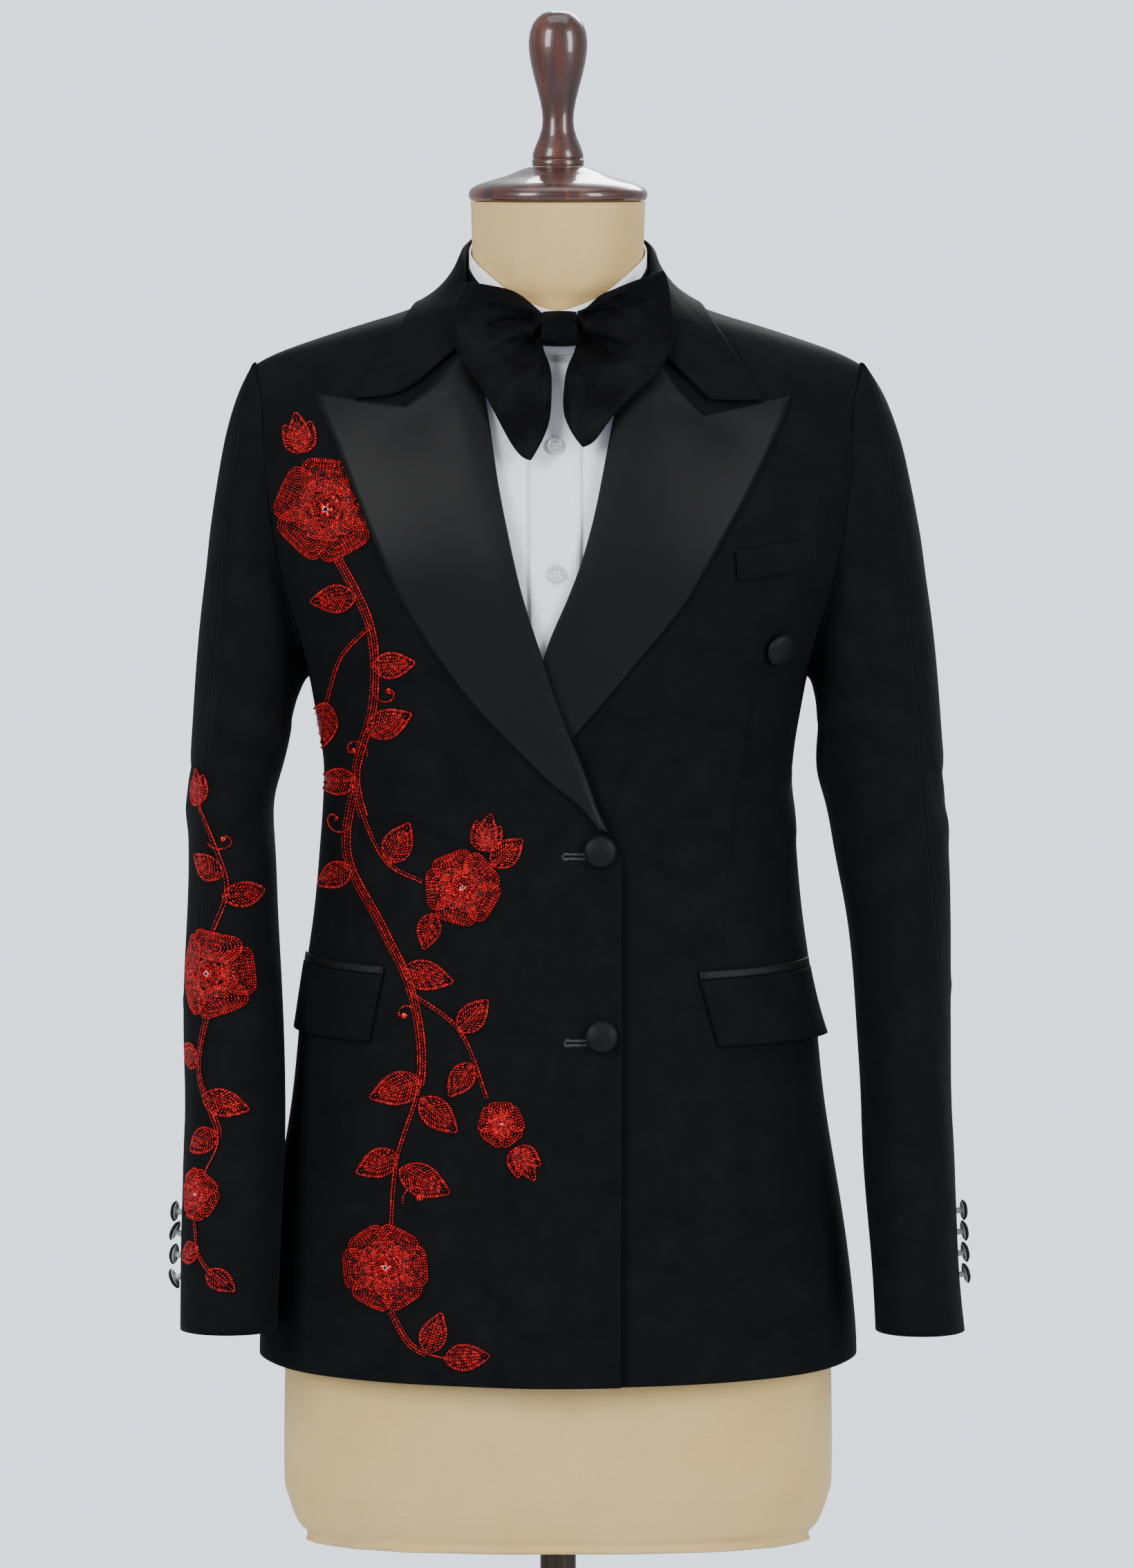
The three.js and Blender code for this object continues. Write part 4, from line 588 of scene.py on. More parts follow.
rightSleeveFolds = [
    fold("front", -2.1, 5, (-184, 1218), (-196, 1210), (-216, 1216)),
    fold("front", 1.6, 6, (-188, 1200), (-202, 1194), (-222, 1202)),
    fold("front", -1.7, 6, (-192, 1182), (-206, 1176), (-226, 1184)),
    fold("front", 1.5, 9, (-216, 1400), (-222, 1260), (-226, 1090), (-226, 930), fade=(0.2, 0.3)),
    fold("front", -1.4, 6, (-203, 1372), (-202, 1300), (-200, 1246)),
    fold("front", -1.5, 7, (-196, 1020), (-212, 1006), (-232, 1010)),
    fold("front", 1.2, 7, (-196, 990), (-212, 978), (-230, 980)),
    fold("front", -1.1, 6, (-194, 962), (-208, 952), (-222, 952)),
    fold("right", -1.5, 8, (-32, 1180), (-4, 1164), (30, 1168)),
    fold("right", 1.2, 9, (-34, 1150), (0, 1132), (34, 1136)),
    fold("right", -1.7, 7, (22, 1050), (4, 1034), (-18, 1034)),
    fold("right", 1.4, 8, (14, 1020), (-4, 1008), (-26, 1010)),
    fold("right", 1.1, 11, (0, 1424), (4, 1360), (2, 1296)),
    fold("back", -1.6, 8, (-204, 1196), (-220, 1182), (-242, 1188)),
    fold("back", -1.4, 8, (-206, 1070), (-222, 1058), (-242, 1064)),
]
# The head of the sleeve is sewn to the body, so its rim moves in to touch it.
sleeveRim = {"low": 1236, "high": 1300, "inner": 202, "outer": 212, "shift": 0.7}
for hand, folds in (("right", rightSleeveFolds), ("left", leftSleeveFolds)):
    for part, flat, share in (("upper", (150, 655), 0.73), ("under", (170, 640), 0.82)):
        name = part + "_sleeve_" + hand
        pieces[name] = clothPiece(name, jacket["sleeve"], sleeveAxis[hand], folds, radius=45)
        declare(pieces[name], flat, share)
        at = points(pieces[name].data) * 1000
        rim = smooth(sleeveRim["low"], sleeveRim["high"], at[:, 2])
        rim *= 1 - smooth(sleeveRim["inner"], sleeveRim["outer"], np.abs(at[:, 0]))
        at[:, 0] -= np.sign(at[:, 0]) * rim * sleeveRim["shift"]
        setPoints(pieces[name].data, at / 1000)
print("sleeves made")


# Lapels, collar and pockets.

# The deepest drag to the button on each side goes on into the lapels.
lapelFolds = [frontFolds[5], frontFolds[9]]
for hand, flat, share in (("right", (125, 350), 0.55), ("left", (125, 310), 0.55)):
    pieces["lapel_" + hand] = clothPiece("lapel_" + hand, jacket["lapel"], bodyAxis, lapelFolds)
    declare(pieces["lapel_" + hand], flat, share)
    pieces["jet_" + hand] = clothPiece("pocket_jet_" + hand, jacket["jet"], bodyAxis, frontFolds)
    declare(pieces["jet_" + hand], (100 if hand == "left" else 88, 10), 0.72)
    pieces["flap_" + hand] = clothPiece("pocket_flap_" + hand, jacket["flap"], bodyAxis, frontFolds)
    declare(pieces["flap_" + hand], (125 if hand == "left" else 105, 55), 0.85)
pieces["welt"] = clothPiece("breast_welt", jacket["flap"], bodyAxis, frontFolds)
declare(pieces["welt"], (66, 21), 0.95)
pieces["collar"] = clothPiece("collar", jacket["collar"], bodyAxis)
declare(pieces["collar"], (470, 95), 0.72)
print("lapels, collar and pockets made")


# Shirt.

shirtLook = {"levels": 2, "finish": "poplin", "slot": "shirt_cotton"}
shirtFolds = [
    fold("front", -1.0, 4, (-24, 1400), (-27, 1350), (-20, 1300)),
    fold("front", -0.9, 4, (24, 1376), (20, 1330), (12, 1280)),
    fold("front", 0.7, 3.5, (-30, 1330), (-22, 1318), (-19, 1300)),
]
# The neck edge of the fronts runs on up behind the collar band.
shirtTuck = {"low": 1434, "high": 1447, "inner": 24, "outer": 44, "shift": 2.0}
for name, flat, share in (("shirt_front_right", (300, 600), 0.75), ("shirt_front_left", (300, 600), 0.75),
                          ("shirt_back", (520, 600), 0.85), ("shirt_placket", (34.5, 550), 0.98)):
    pieces[name] = clothPiece(name, shirtLook, bodyAxis, shirtFolds)
    declare(pieces[name], flat, share)
    at = points(pieces[name].data) * 1000
    tucked = smooth(shirtTuck["low"], shirtTuck["high"], at[:, 2]) * (at[:, 1] < 0)
    tucked *= 1 - smooth(shirtTuck["inner"], shirtTuck["outer"], np.abs(at[:, 0]))
    at[:, 2] += tucked * shirtTuck["shift"]
    setPoints(pieces[name].data, at / 1000)
pieces["shirt_collar"] = clothPiece("shirt_collar", shirtLook, bodyAxis, radius=60)
declare(pieces["shirt_collar"], (378, 50), 0.67)
print("shirt made")


# Bow tie.

bowLook = {"levels": 3, "finish": "velvet", "slot": "velvet", "deepen": 1.7}
bowFolds = {
    "right": [
        fold("front", -3.0, 3.2, (-12, 1473), (-38, 1471), (-62, 1460), fade=(0.1, 0.5)),
        fold("front", 2.2, 3.6, (-12, 1466), (-36, 1462), (-60, 1446), fade=(0.1, 0.5)),
        fold("front", -2.6, 3.4, (-12, 1458), (-28, 1450), (-46, 1432), fade=(0.1, 0.5)),
        fold("front", 1.8, 3.2, (-10, 1450), (-18, 1432), (-26, 1408), fade=(0.15, 0.5)),
        fold("front", 1.6, 3.4, (-16, 1479), (-38, 1486), (-56, 1488), fade=(0.1, 0.4)),
    ],
    "left": [
        fold("front", -3.2, 3.2, (14, 1474), (34, 1478), (58, 1478), fade=(0.1, 0.5)),
        fold("front", -2.6, 3.6, (34, 1487), (56, 1484), (70, 1466), fade=(0.2, 0.4)),
        fold("front", 2.4, 3.6, (14, 1469), (42, 1462), (64, 1448), fade=(0.1, 0.5)),
        fold("front", -2.8, 3.2, (14, 1462), (30, 1452), (44, 1440), fade=(0.1, 0.5)),
        fold("front", 2.0, 3.2, (12, 1452), (20, 1436), (26, 1412), fade=(0.15, 0.5)),
    ],
}


def frontShare(mesh, low, high):
    # How far each place of a mesh looks to the front.
    normals = np.zeros(len(mesh.vertices) * 3, np.float32)
    mesh.vertices.foreach_get("normal", normals)
    return smooth(low, high, -normals.reshape(-1, 3)[:, 1])


def hemmed(mesh, outline, hem):
    # A rolled hem: a soft ridge a little inside the free edges of a wing, with a trough beside it.
    at = points(mesh) * 1000
    inside = nearestOn(outline, at[:, 0], at[:, 2])[0] - hem["inset"]
    rise = np.exp(-(inside / hem["wide"]) ** 2)
    rise -= hem["trough"] * np.exp(-((inside - hem["apart"] * hem["wide"]) / hem["wide"]) ** 2)
    at[:, 1] -= frontShare(mesh, 0.2, 0.6) * hem["rise"] * rise
    setPoints(mesh, at / 1000)


bowHem = {"inset": 2.4, "wide": 1.7, "rise": 0.9, "trough": 0.6, "apart": 2.2}
bowEdges = {
    "right": [(-17, 1483), (-34, 1494), (-60, 1498), (-68, 1484), (-70, 1467), (-62, 1442), (-45, 1417),
              (-26, 1384), (-18, 1380), (-8, 1397), (-4, 1430)],
    "left": [(20, 1482), (38, 1494), (71, 1506), (77, 1478), (77, 1458), (60, 1431), (32, 1404), (16, 1389),
             (8, 1400), (4, 1430)],
}
for hand in ("right", "left"):
    name = "bow_wing_" + hand
    mesh = subdivided(name, bowLook["levels"], 50, 0.6)
    at = points(mesh) * 1000
    rise = sum(foldRise(at[:, 0], at[:, 2], stroke) for stroke in bowFolds[hand])
    at[:, 1] -= bowLook["deepen"] * rise * frontShare(mesh, 0.0, 0.4)
    setPoints(mesh, at / 1000)
    hemmed(mesh, bowEdges[hand], bowHem)
    pieces[name] = place(name + "_cloth", mesh, finish["velvet"], "velvet", [name])
    mesh.set_sharp_from_angle(angle=math.radians(70))
    declare(pieces[name], (75, 118), 0.7)

# The knot: a soft roll low down, a crease above it and shallow pleats that run across both.
knot = {"levels": 3, "front": -73.4, "middle": 1.0, "widen": 1.045, "fill": 0.7,
        "rolls": [{"z": 1462, "wide": 6, "rise": 1.6}, {"z": 1470.5, "wide": 1.8, "rise": -1.5}],
        "pleats": {"rise": 0.5, "turn": 0.9, "bend": 0.06, "z": 1460}}
knotMesh = subdivided("bow_knot", knot["levels"], 80)
at = points(knotMesh) * 1000
front = smooth(2, 9, knot["front"] - at[:, 1])
rise = sum(row["rise"] * np.exp(-((at[:, 2] - row["z"]) / row["wide"]) ** 2) for row in knot["rolls"])
pleats = knot["pleats"]
rise += pleats["rise"] * np.sin(at[:, 0] * pleats["turn"] + pleats["bend"] * (at[:, 2] - pleats["z"]) ** 2)
at[:, 1] -= front * rise
at[:, 0] = knot["middle"] + (at[:, 0] - knot["middle"]) * knot["widen"]
setPoints(knotMesh, at / 1000)
pieces["bow_knot"] = place("bow_knot_cloth", knotMesh, finish["velvet"], "velvet", ["bow_knot"])
pieces["tie_band"] = clothPiece("tie_band", {**bowLook, "levels": 2}, bodyAxis, radius=60)
declare(pieces["tie_band"], (387, 17), 0.95)
print("bow tie made")


# Buttons.

for name in ("front_button_top", "front_button_low", "chest_button",
             *[f"cuff_button_{hand}_{i}" for hand in ("right", "left") for i in (1, 2, 3, 4)]):
    mesh = subdivided(name, 2, 75)
    clothMap(mesh, bodyAxis, 150)
    place(name + "_satin", mesh, finish["satin"], "covered_button", [name])


def turnedMesh(name, rows, segments, put=None, closed=False):
    # Rows of radius and height in millimetres turned about Z; closed joins the last row to the first.
    work = bmesh.new()
    rings = []
    for radius, height in rows:
        rings.append([])
        for k in range(segments):
            angle = 2 * math.pi * k / segments
            spot = Vector((radius * math.cos(angle), radius * math.sin(angle), height)) * mm
            rings[-1].append(work.verts.new(put(spot) if put else spot))
    for low, high in zip(rings, rings[1:] + rings[:1] if closed else rings[1:]):
        for k in range(segments):
            n = (k + 1) % segments
            work.faces.new((low[k], low[n], high[n], high[k]))
    if not closed:
        work.faces.new(list(reversed(rings[0])))
        work.faces.new(rings[-1])
    bmesh.ops.recalc_face_normals(work, faces=work.faces)
    mesh = bpy.data.meshes.new(name)
    work.to_mesh(mesh)
    work.free()
    return mesh


def discFrame(corners, away):
    # Puts Z along the face of a flat round piece that looks along away, with zero at its back.
    middle = corners.mean(0)
    outward = np.linalg.svd(corners - middle, full_matrices=False)[2][-1]
    if np.dot(outward, away) < 0:
        outward = -outward
    back = Vector(middle + outward * ((corners - middle) @ outward).min())
    turn = Vector((0, 0, 1)).rotation_difference(Vector(outward))

    def put(spot):
        return back + turn @ spot
    return put


shirtButton = {"segments": 40, "rows": [(5.2, 0), (5.9, 0.5), (6.0, 1.2), (5.7, 1.8), (5.2, 2.0), (4.6, 1.85),
                                        (4.2, 1.45), (3.6, 1.3), (0.6, 1.3)]}
buttonThread = {"holes": 4, "spread": 1.7, "height": 1.36, "radius": 0.85, "flat": 0.35}


def pearlButton(name, node):
    work = bmesh.new()
    work.from_mesh(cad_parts[node].data)
    bmesh.ops.remove_doubles(work, verts=work.verts, dist=sameSpot)
    corners = np.array([vert.co for vert in work.verts])
    work.free()
    put = discFrame(corners, (0, -1, 0))
    mesh = turnedMesh(name, shirtButton["rows"], shirtButton["segments"], put)
    place(name, mesh, finish["pearl"], "shirt_button", [node])
    mesh.set_sharp_from_angle(angle=math.radians(50))
    threads = bmesh.new()
    radius = buttonThread["radius"] * mm
    for k in range(buttonThread["holes"]):
        angle = math.pi / 4 + 2 * math.pi * k / buttonThread["holes"]
        out = Vector((math.cos(angle), math.sin(angle), 0)) * buttonThread["spread"]
        spot = (out + Vector((0, 0, buttonThread["height"]))) * mm
        made = bmesh.ops.create_uvsphere(threads, u_segments=10, v_segments=6, radius=radius)
        for vert in made["verts"]:
            vert.co = put(spot + Vector((vert.co.x, vert.co.y, vert.co.z * buttonThread["flat"])))
    threadMesh = bpy.data.meshes.new(name + "_thread")
    threads.to_mesh(threadMesh)
    threads.free()
    place(name + "_thread", threadMesh, finish["poplin"], "shirt_cotton")


pearlButton("shirt_button_top_pearl", "shirt_button_top")
pearlButton("shirt_button_low_pearl", "shirt_button_low")
print("buttons made")


# Dress form and stand.

form = {"levels": 2, "segments": 96}
torsoMesh = subdivided("form_torso", form["levels"], 60)
draped(torsoMesh, bodyAxis, [
    fold("front", -0.7, 5, (-190, 664), (-60, 655), (60, 654), (190, 666)),
    fold("front", 0.8, 9, (-130, 735), (-122, 700), (-126, 668)),
    fold("front", 0.7, 10, (90, 730), (98, 690), (92, 664)),
])
clothMap(torsoMesh, bodyAxis, 150)
place("form_torso_linen", torsoMesh, finish["linen"], "form_linen", ["form_torso"])


def lathe(name, rows, look, slotName, replaced=(), segments=form["segments"]):
    mesh = turnedMesh(name, rows, segments)
    place(name, mesh, finish[look], slotName, replaced)
    mesh.set_sharp_from_angle(angle=math.radians(38))


lathe("neck_cap_turned", [
    (56.0, 1552.3), (58.6, 1552.6), (60.3, 1554.2), (60.8, 1556.6), (60.4, 1558.8), (58.9, 1560.9),
    (55.2, 1563.3), (49.5, 1565.3), (43.0, 1567.1), (36.0, 1569.2), (30.0, 1571.4), (24.5, 1573.8),
    (20.8, 1575.0), (19.3, 1575.5),
], "wood", "form_wood", ["neck_cap"])
lathe("finial_turned", [
    (17.2, 1575.8), (17.6, 1577.2), (17.7, 1579.8), (17.2, 1580.6), (16.9, 1581.0), (17.4, 1582.0),
    (17.1, 1584.5), (15.4, 1589.5), (12.9, 1595.5), (11.0, 1601.5), (10.5, 1607.5), (10.9, 1613.0),
    (12.3, 1620.5), (14.4, 1629.0), (16.7, 1637.5), (18.5, 1645.5), (19.7, 1653.5), (20.0, 1660.0),
    (19.2, 1666.5), (17.4, 1671.8), (14.4, 1676.2), (10.6, 1679.4), (6.0, 1680.8), (2.0, 1681.0),
], "wood", "form_wood", ["finial"])
lathe("pole_tube", [
    (11.9, 12.3), (12.25, 12.7), (12.25, 639.3), (11.9, 639.7),
], "steel", "stand_metal", ["pole"])
lathe("pole_socket", [
    (15.5, 12.1), (19.0, 12.4), (20.0, 13.6), (19.5, 20.0), (16.5, 30.0), (15.2, 38.0),
    (14.2, 39.6), (12.6, 39.9),
], "steel", "stand_metal")
lathe("stand_base_turned", [
    (173.2, 0.0), (174.6, 0.5), (175.0, 1.6), (175.0, 5.6), (174.2, 7.4), (171.6, 9.4),
    (167.0, 10.9), (160.0, 11.8), (150.0, 12.0), (24.0, 12.0),
], "steel", "stand_metal", ["stand_base"], 128)
print("form and stand made")


# Beadwork.

def beadTree():
    # Beads of one kind along lines, each turned to its line and to the cloth, with sizes that vary a little.
    tree = bpy.data.node_groups.new("bead_line", "GeometryNodeTree")
    sockets = {}
    face = tree.interface
    face.new_socket("Lines", in_out="INPUT", socket_type="NodeSocketGeometry")
    for name, kind, value in (("Pitch", "NodeSocketFloat", 0.0022), ("Bead", "NodeSocketObject", None),
                              ("Least", "NodeSocketFloat", 0.85), ("Most", "NodeSocketFloat", 1.12),
                              ("Material", "NodeSocketMaterial", None), ("Seed", "NodeSocketInt", 4)):
        socket = face.new_socket(name, in_out="INPUT", socket_type=kind)
        if value is not None:
            socket.default_value = value
        sockets[name] = socket.identifier
    face.new_socket("Beads", in_out="OUTPUT", socket_type="NodeSocketGeometry")
    given = addNode(tree, "NodeGroupInput").outputs
    curve = addNode(tree, "GeometryNodeMeshToCurve", {}, {"Mesh": given["Lines"]})
    along = addNode(tree, "GeometryNodeCurveToPoints", {"mode": "LENGTH"}, {
        "Curve": curve.outputs[0], "Length": given["Pitch"]})
    up = addNode(tree, "GeometryNodeInputNamedAttribute", {"data_type": "FLOAT_VECTOR"}, {"Name": "up"})
    first = addNode(tree, "FunctionNodeAlignRotationToVector", {"axis": "X"}, {
        "Vector": along.outputs["Tangent"]})
    second = addNode(tree, "FunctionNodeAlignRotationToVector", {"axis": "Z", "pivot_axis": "X"}, {
        "Rotation": first.outputs[0], "Vector": up.outputs["Attribute"]})
    bead = addNode(tree, "GeometryNodeObjectInfo", {}, {"Object": given["Bead"]})
    size = addNode(tree, "FunctionNodeRandomValue", {"data_type": "FLOAT"}, {
        2: given["Least"], 3: given["Most"], "Seed": given["Seed"]})
    put = addNode(tree, "GeometryNodeInstanceOnPoints", {}, {
        "Points": along.outputs["Points"], "Instance": bead.outputs["Geometry"],
        "Rotation": second.outputs[0], "Scale": size.outputs[1]})
    real = addNode(tree, "GeometryNodeRealizeInstances", {}, {0: put.outputs[0]})
    painted = addNode(tree, "GeometryNodeSetMaterial", {}, {
        "Geometry": real.outputs[0], "Material": given["Material"]})
    end = addNode(tree, "NodeGroupOutput")
    tree.links.new(painted.outputs[0], end.inputs["Beads"])
    return tree, sockets


beadNodes, beadSockets = beadTree()


def alongX(spot):
    return Vector((spot.z, spot.x, spot.y))


def beadKind(name, pitch, lift, sides, rows, put=None):
    # One bead, its pitch on the thread and its height over the cloth.
    shape = bpy.data.objects.new(name, turnedMesh(name, rows, sides, put))
    return {"shape": shape, "pitch": pitch, "lift": lift}


beads = {
    "bugle": beadKind("bugle", 2.45, 0.62, 5, [(0.62, -1.12), (0.62, 1.12)], alongX),
    "seed": beadKind("seed", 1.75, 0.85, 5, [(0.5, -0.6), (0.92, 0), (0.5, 0.6)], alongX),
    "spangle": beadKind("spangle", 4.0, 0.5, 10, [(2.1, 0), (2.1, 0.2), (0.945, 0.42)]),
    "bar": beadKind("bar", 0.62, 0.25, 6, [(0.14, -0.3), (0.3, -0.2), (0.3, 0.2), (0.14, 0.3)], alongX),
    "run": beadKind("run", 2.7, 0.05, 6, [(0.08, -1.0), (0.2, -0.7), (0.2, 0.7), (0.08, 1.0)], alongX),
}
# A bar stitch is wide across its line, as the twist of a buttonhole is.
barStitchWidth = 4.2
for vert in beads["bar"]["shape"].data.vertices:
    vert.co.y *= barStitchWidth
beadSizes = {"Least": 0.86, "Most": 1.1}


def surfaceTree(names):
    corners = []
    faces = []
    owners = []
    for name in names:
        mesh = pieces[name].data
        start = len(corners)
        corners.extend([tuple(vert.co) for vert in mesh.vertices])
        faces.extend([[start + i for i in polygon.vertices] for polygon in mesh.polygons])
        owners.extend([name] * len(mesh.polygons))
    return BVHTree.FromPolygons(corners, faces), owners


def landed(tree, start, way, lift):
    # Where a ray meets the cloth, lifted off it, the cloth's normal there and the face that was met.
    spot, normal, index, far = tree.ray_cast(start, way)
    if spot is None:
        return None, None, None
    if normal.dot(way) > 0:
        normal = -normal
    return spot + normal * lift * mm, normal, index


# Rays start this far off, in metres.
rayStart = {"front": 0.6, "sleeve": 0.12}


def onFront(wanted, names):
    # Puts beads on the wanted piece where none of the other named pieces covers it.
    tree, owners = surfaceTree(names)

    def project(x, z, lift):
        start = Vector((x * mm, -rayStart["front"], z * mm))
        spot, normal, index = landed(tree, start, Vector((0, 1, 0)), lift)
        return (spot, normal) if spot is not None and owners[index] == wanted else None
    return project


sleeveRadius = 46


def onSleeve(hand):
    # Puts beads on a sleeve: round it by arc, with zero in front, and up it by height.
    tree, owners = surfaceTree(["upper_sleeve_" + hand, "under_sleeve_" + hand])

    def project(arc, z, lift):
        turn = arc / sleeveRadius
        out = Vector((-math.sin(turn), -math.cos(turn), 0))
        centre = Vector((*axisAt(sleeveAxis[hand], z), z)) * mm
        spot, normal, index = landed(tree, centre + out * rayStart["sleeve"], -out, lift)
        return (spot, normal) if spot is not None else None
    return project


def finer(path, step):
    out = [path[0]]
    for a, b in zip(path, path[1:]):
        count = max(1, int(math.dist(a, b) / step))
        out.extend([(lerp(a[0], b[0], i / count), lerp(a[1], b[1], i / count)) for i in range(1, count + 1)])
    return out


class Beadwork:
    # Lines of beads on one surface, gathered by the kind of bead and its glass.
    step = 2.0

    def __init__(self, name, project):
        self.name = name
        self.project = project
        self.lines = {}

    def line(self, kind, glass, path):
        # A line stops where it leaves the surface and goes on where it meets it again.
        runs = [[]]
        for x, z in finer(path, self.step):
            found = self.project(x, z, beads[kind]["lift"])
            if found:
                runs[-1].append(found)
            else:
                runs.append([])
        self.lines.setdefault((kind, glass), []).extend([run for run in runs if len(run) > 1])

    def build(self):
        for (kind, glass), runs in self.lines.items():
            at = []
            edges = []
            ups = []
            for run in runs:
                edges.extend([(len(at) + i, len(at) + i + 1) for i in range(len(run) - 1)])
                at.extend([tuple(spot) for spot, normal in run])
                ups.extend([part for spot, normal in run for part in normal])
            mesh = bpy.data.meshes.new("lines")
            mesh.from_pydata(at, edges, [])
            mesh.attributes.new("up", "FLOAT_VECTOR", "POINT").data.foreach_set("vector", ups)
            holder = bpy.data.objects.new("holder", mesh)
            bpy.context.scene.collection.objects.link(holder)
            modifier = holder.modifiers.new("beads", "NODES")
            modifier.node_group = beadNodes
            for socket, value in {"Pitch": beads[kind]["pitch"] * mm, "Bead": beads[kind]["shape"],
                                  "Material": finish[glass], **beadSizes}.items():
                modifier[beadSockets[socket]] = value
            made = evaluatedMesh(holder)
            bpy.data.objects.remove(holder)
            name = f"{self.name}_{kind}_{glass}"
            place(name, made, finish[glass])
            print("  beadwork", name, len(made.polygons), "faces")


def curved(spots, count):
    # A smooth line through spots.
    out = []
    last = len(spots) - 1
    for i in range(count + 1):
        t = i / count * last
        k = min(int(t), last - 1)
        f = t - k
        p0, p1 = spots[max(k - 1, 0)], spots[k]
        p2, p3 = spots[k + 1], spots[min(k + 2, last)]
        out.append(tuple(0.5 * (2 * b + (c - a) * f + (2 * a - 5 * b + 4 * c - d) * f * f
                                + (3 * b - a - 3 * c + d) * f ** 3) for a, b, c, d in zip(p0, p1, p2, p3)))
    return out


def offset(path, far):
    out = []
    for i, (x, z) in enumerate(path):
        ax, az = path[max(i - 1, 0)]
        bx, bz = path[min(i + 1, len(path) - 1)]
        length = math.dist((ax, az), (bx, bz)) or 1
        out.append((x - (bz - az) / length * far, z + (bx - ax) / length * far))
    return out


petalRounds = (
    {"reach": 1.0, "start": 0.3, "wide": 0.98, "shift": 0.0, "second": ("seed", "spangle")},
    {"reach": 0.62, "start": 0.16, "wide": 0.92, "shift": 0.5, "second": ("bugle", "garnet")},
)
petalShape = {"pitch": 1.75, "steps": 24, "hollow": 0.42, "notch": 0.05, "swell": 0.28, "full": 0.82}
petalSpangles = {"out": 0.12, "lean": 0.16, "wide": 1.4, "tall": 0.8}
# The innermost ring of each heart is the pale glass, a painted highlight for the beads' sparkle.
blossomHeart = ((0.15, "seed", "ruby"), (0.095, "spangle", "spangle"), (0.05, "seed", "crystal"))


def petal(centre, axis, start, long, half, t):
    # The t-th part of a petal's full outline, as a closed loop that follows its edge.
    loop = []
    for s in range(petalShape["steps"] + 1):
        u = math.pi * (s / petalShape["steps"] * 2 - 1)
        tip = (1 - math.cos(u)) / 2
        along = start + long * (1 - t) * petalShape["hollow"] + long * t * tip
        along += long * t * petalShape["notch"] * math.cos(3 * u)
        swell = math.sin(abs(u)) ** 0.8 * (1 + petalShape["swell"] * tip)
        across = math.copysign(half * t * petalShape["full"] * swell, u)
        loop.append((centre[0] + along * math.cos(axis) - across * math.sin(axis),
                     centre[1] + along * math.sin(axis) + across * math.cos(axis)))
    return loop


def blossom(work, centre, size, turned, petals):
    # An open blossom: two rounds of rounded petals, each filled with rows that follow its edge, and a heart.
    for look in petalRounds:
        for k in range(petals):
            axis = math.radians(turned + 360 / petals * (k + look["shift"]))
            start = size * look["start"]
            half = size * look["reach"] * math.sin(math.pi / petals) * look["wide"]
            rows = max(2, int(half / petalShape["pitch"]))
            for j in range(rows):
                inner = ("bugle", "garnet" if j % 3 else "ruby")
                kind, glass = {0: ("seed", "ruby"), 1: look["second"]}.get(j, inner)
                loop = petal(centre, axis, start, size * look["reach"] - start, half, 1 - j / rows)
                work.line(kind, glass, loop)
            near = start + size * petalSpangles["out"]
            for lean in (-petalSpangles["lean"], petalSpangles["lean"]):
                x = centre[0] + near * math.cos(axis + lean)
                z = centre[1] + near * math.sin(axis + lean)
                end = (x + petalSpangles["wide"], z + petalSpangles["tall"])
                work.line("spangle", "spangle", [(x, z), end])
    for radius, kind, glass in blossomHeart:
        work.line(kind, glass, [(centre[0] + size * radius * math.cos(a * math.pi / 10),
                                 centre[1] + size * radius * math.sin(a * math.pi / 10)) for a in range(21)])


leafShape = {"pitch": 1.7, "vein": 0.9, "slant": 0.7, "tip": 0.97, "gap": 1.1, "edge": 0.7, "least": 2,
             "steps": 24}


def leaf(work, foot, angle, long, wide):
    # A pointed leaf: a vein, rows that slant to the tip on both sides of it and an edge.
    c, s = math.cos(math.radians(angle)), math.sin(math.radians(angle))

    def to(a, b):
        return (foot[0] + a * c - b * s, foot[1] + a * s + b * c)

    def halfAt(a):
        t = min(1, max(0, a / long))
        return wide * math.sin(math.pi * t ** 0.8) ** 0.9

    work.line("seed", "garnet", [to(0, 0), to(long * leafShape["vein"], 0)])
    count = max(5, round(long / leafShape["pitch"]))
    for side in (-1, 1):
        for i in range(1, count):
            a = long * i / count
            tip = min(long * leafShape["tip"], a + halfAt(a) * leafShape["slant"])
            if halfAt(tip) > leafShape["least"]:
                row = [to(a, side * leafShape["gap"]), to(tip, side * halfAt(tip))]
                work.line("bugle", "garnet" if i % 3 == 0 else "ruby", row)
        places = [long * i / leafShape["steps"] for i in range(leafShape["steps"] + 1)]
        work.line("seed", "ruby", [to(a, side * (halfAt(a) + leafShape["edge"])) for a in places])


vineShape = {"pitch": 1.75, "steps": 60, "short": 42}


def vine(work, spots, rows):
    # Rows of bugle beads side by side, fewer towards the tip.
    path = curved(spots, vineShape["steps"])
    for k in range(rows):
        outer = rows > 2 and k in (0, rows - 1)
        row = offset(path, (k - (rows - 1) / 2) * vineShape["pitch"])
        work.line("bugle", "ruby" if k % 2 else "garnet", row[:vineShape["short"]] if outer else row)


tendrilShape = {"steps": 33, "turns": 5.2, "tighten": 1.1}


def tendril(work, foot, angle, size, hand):
    # A curl of seed beads that ends in a sequin.
    start = math.radians(angle)
    middle = (foot[0] + size * math.cos(start), foot[1] + size * math.sin(start))
    run = []
    for i in range(tendrilShape["steps"] + 1):
        t = i / tendrilShape["steps"]
        turn = start + hand * t * tendrilShape["turns"]
        reach = size * (1 - t) ** tendrilShape["tighten"]
        run.append((middle[0] - reach * math.cos(turn), middle[1] - reach * math.sin(turn)))
    work.line("seed", "ruby", run)
    work.line("spangle", "spangle", [run[-1], (run[-1][0] + 1, run[-1][1] + 1)])


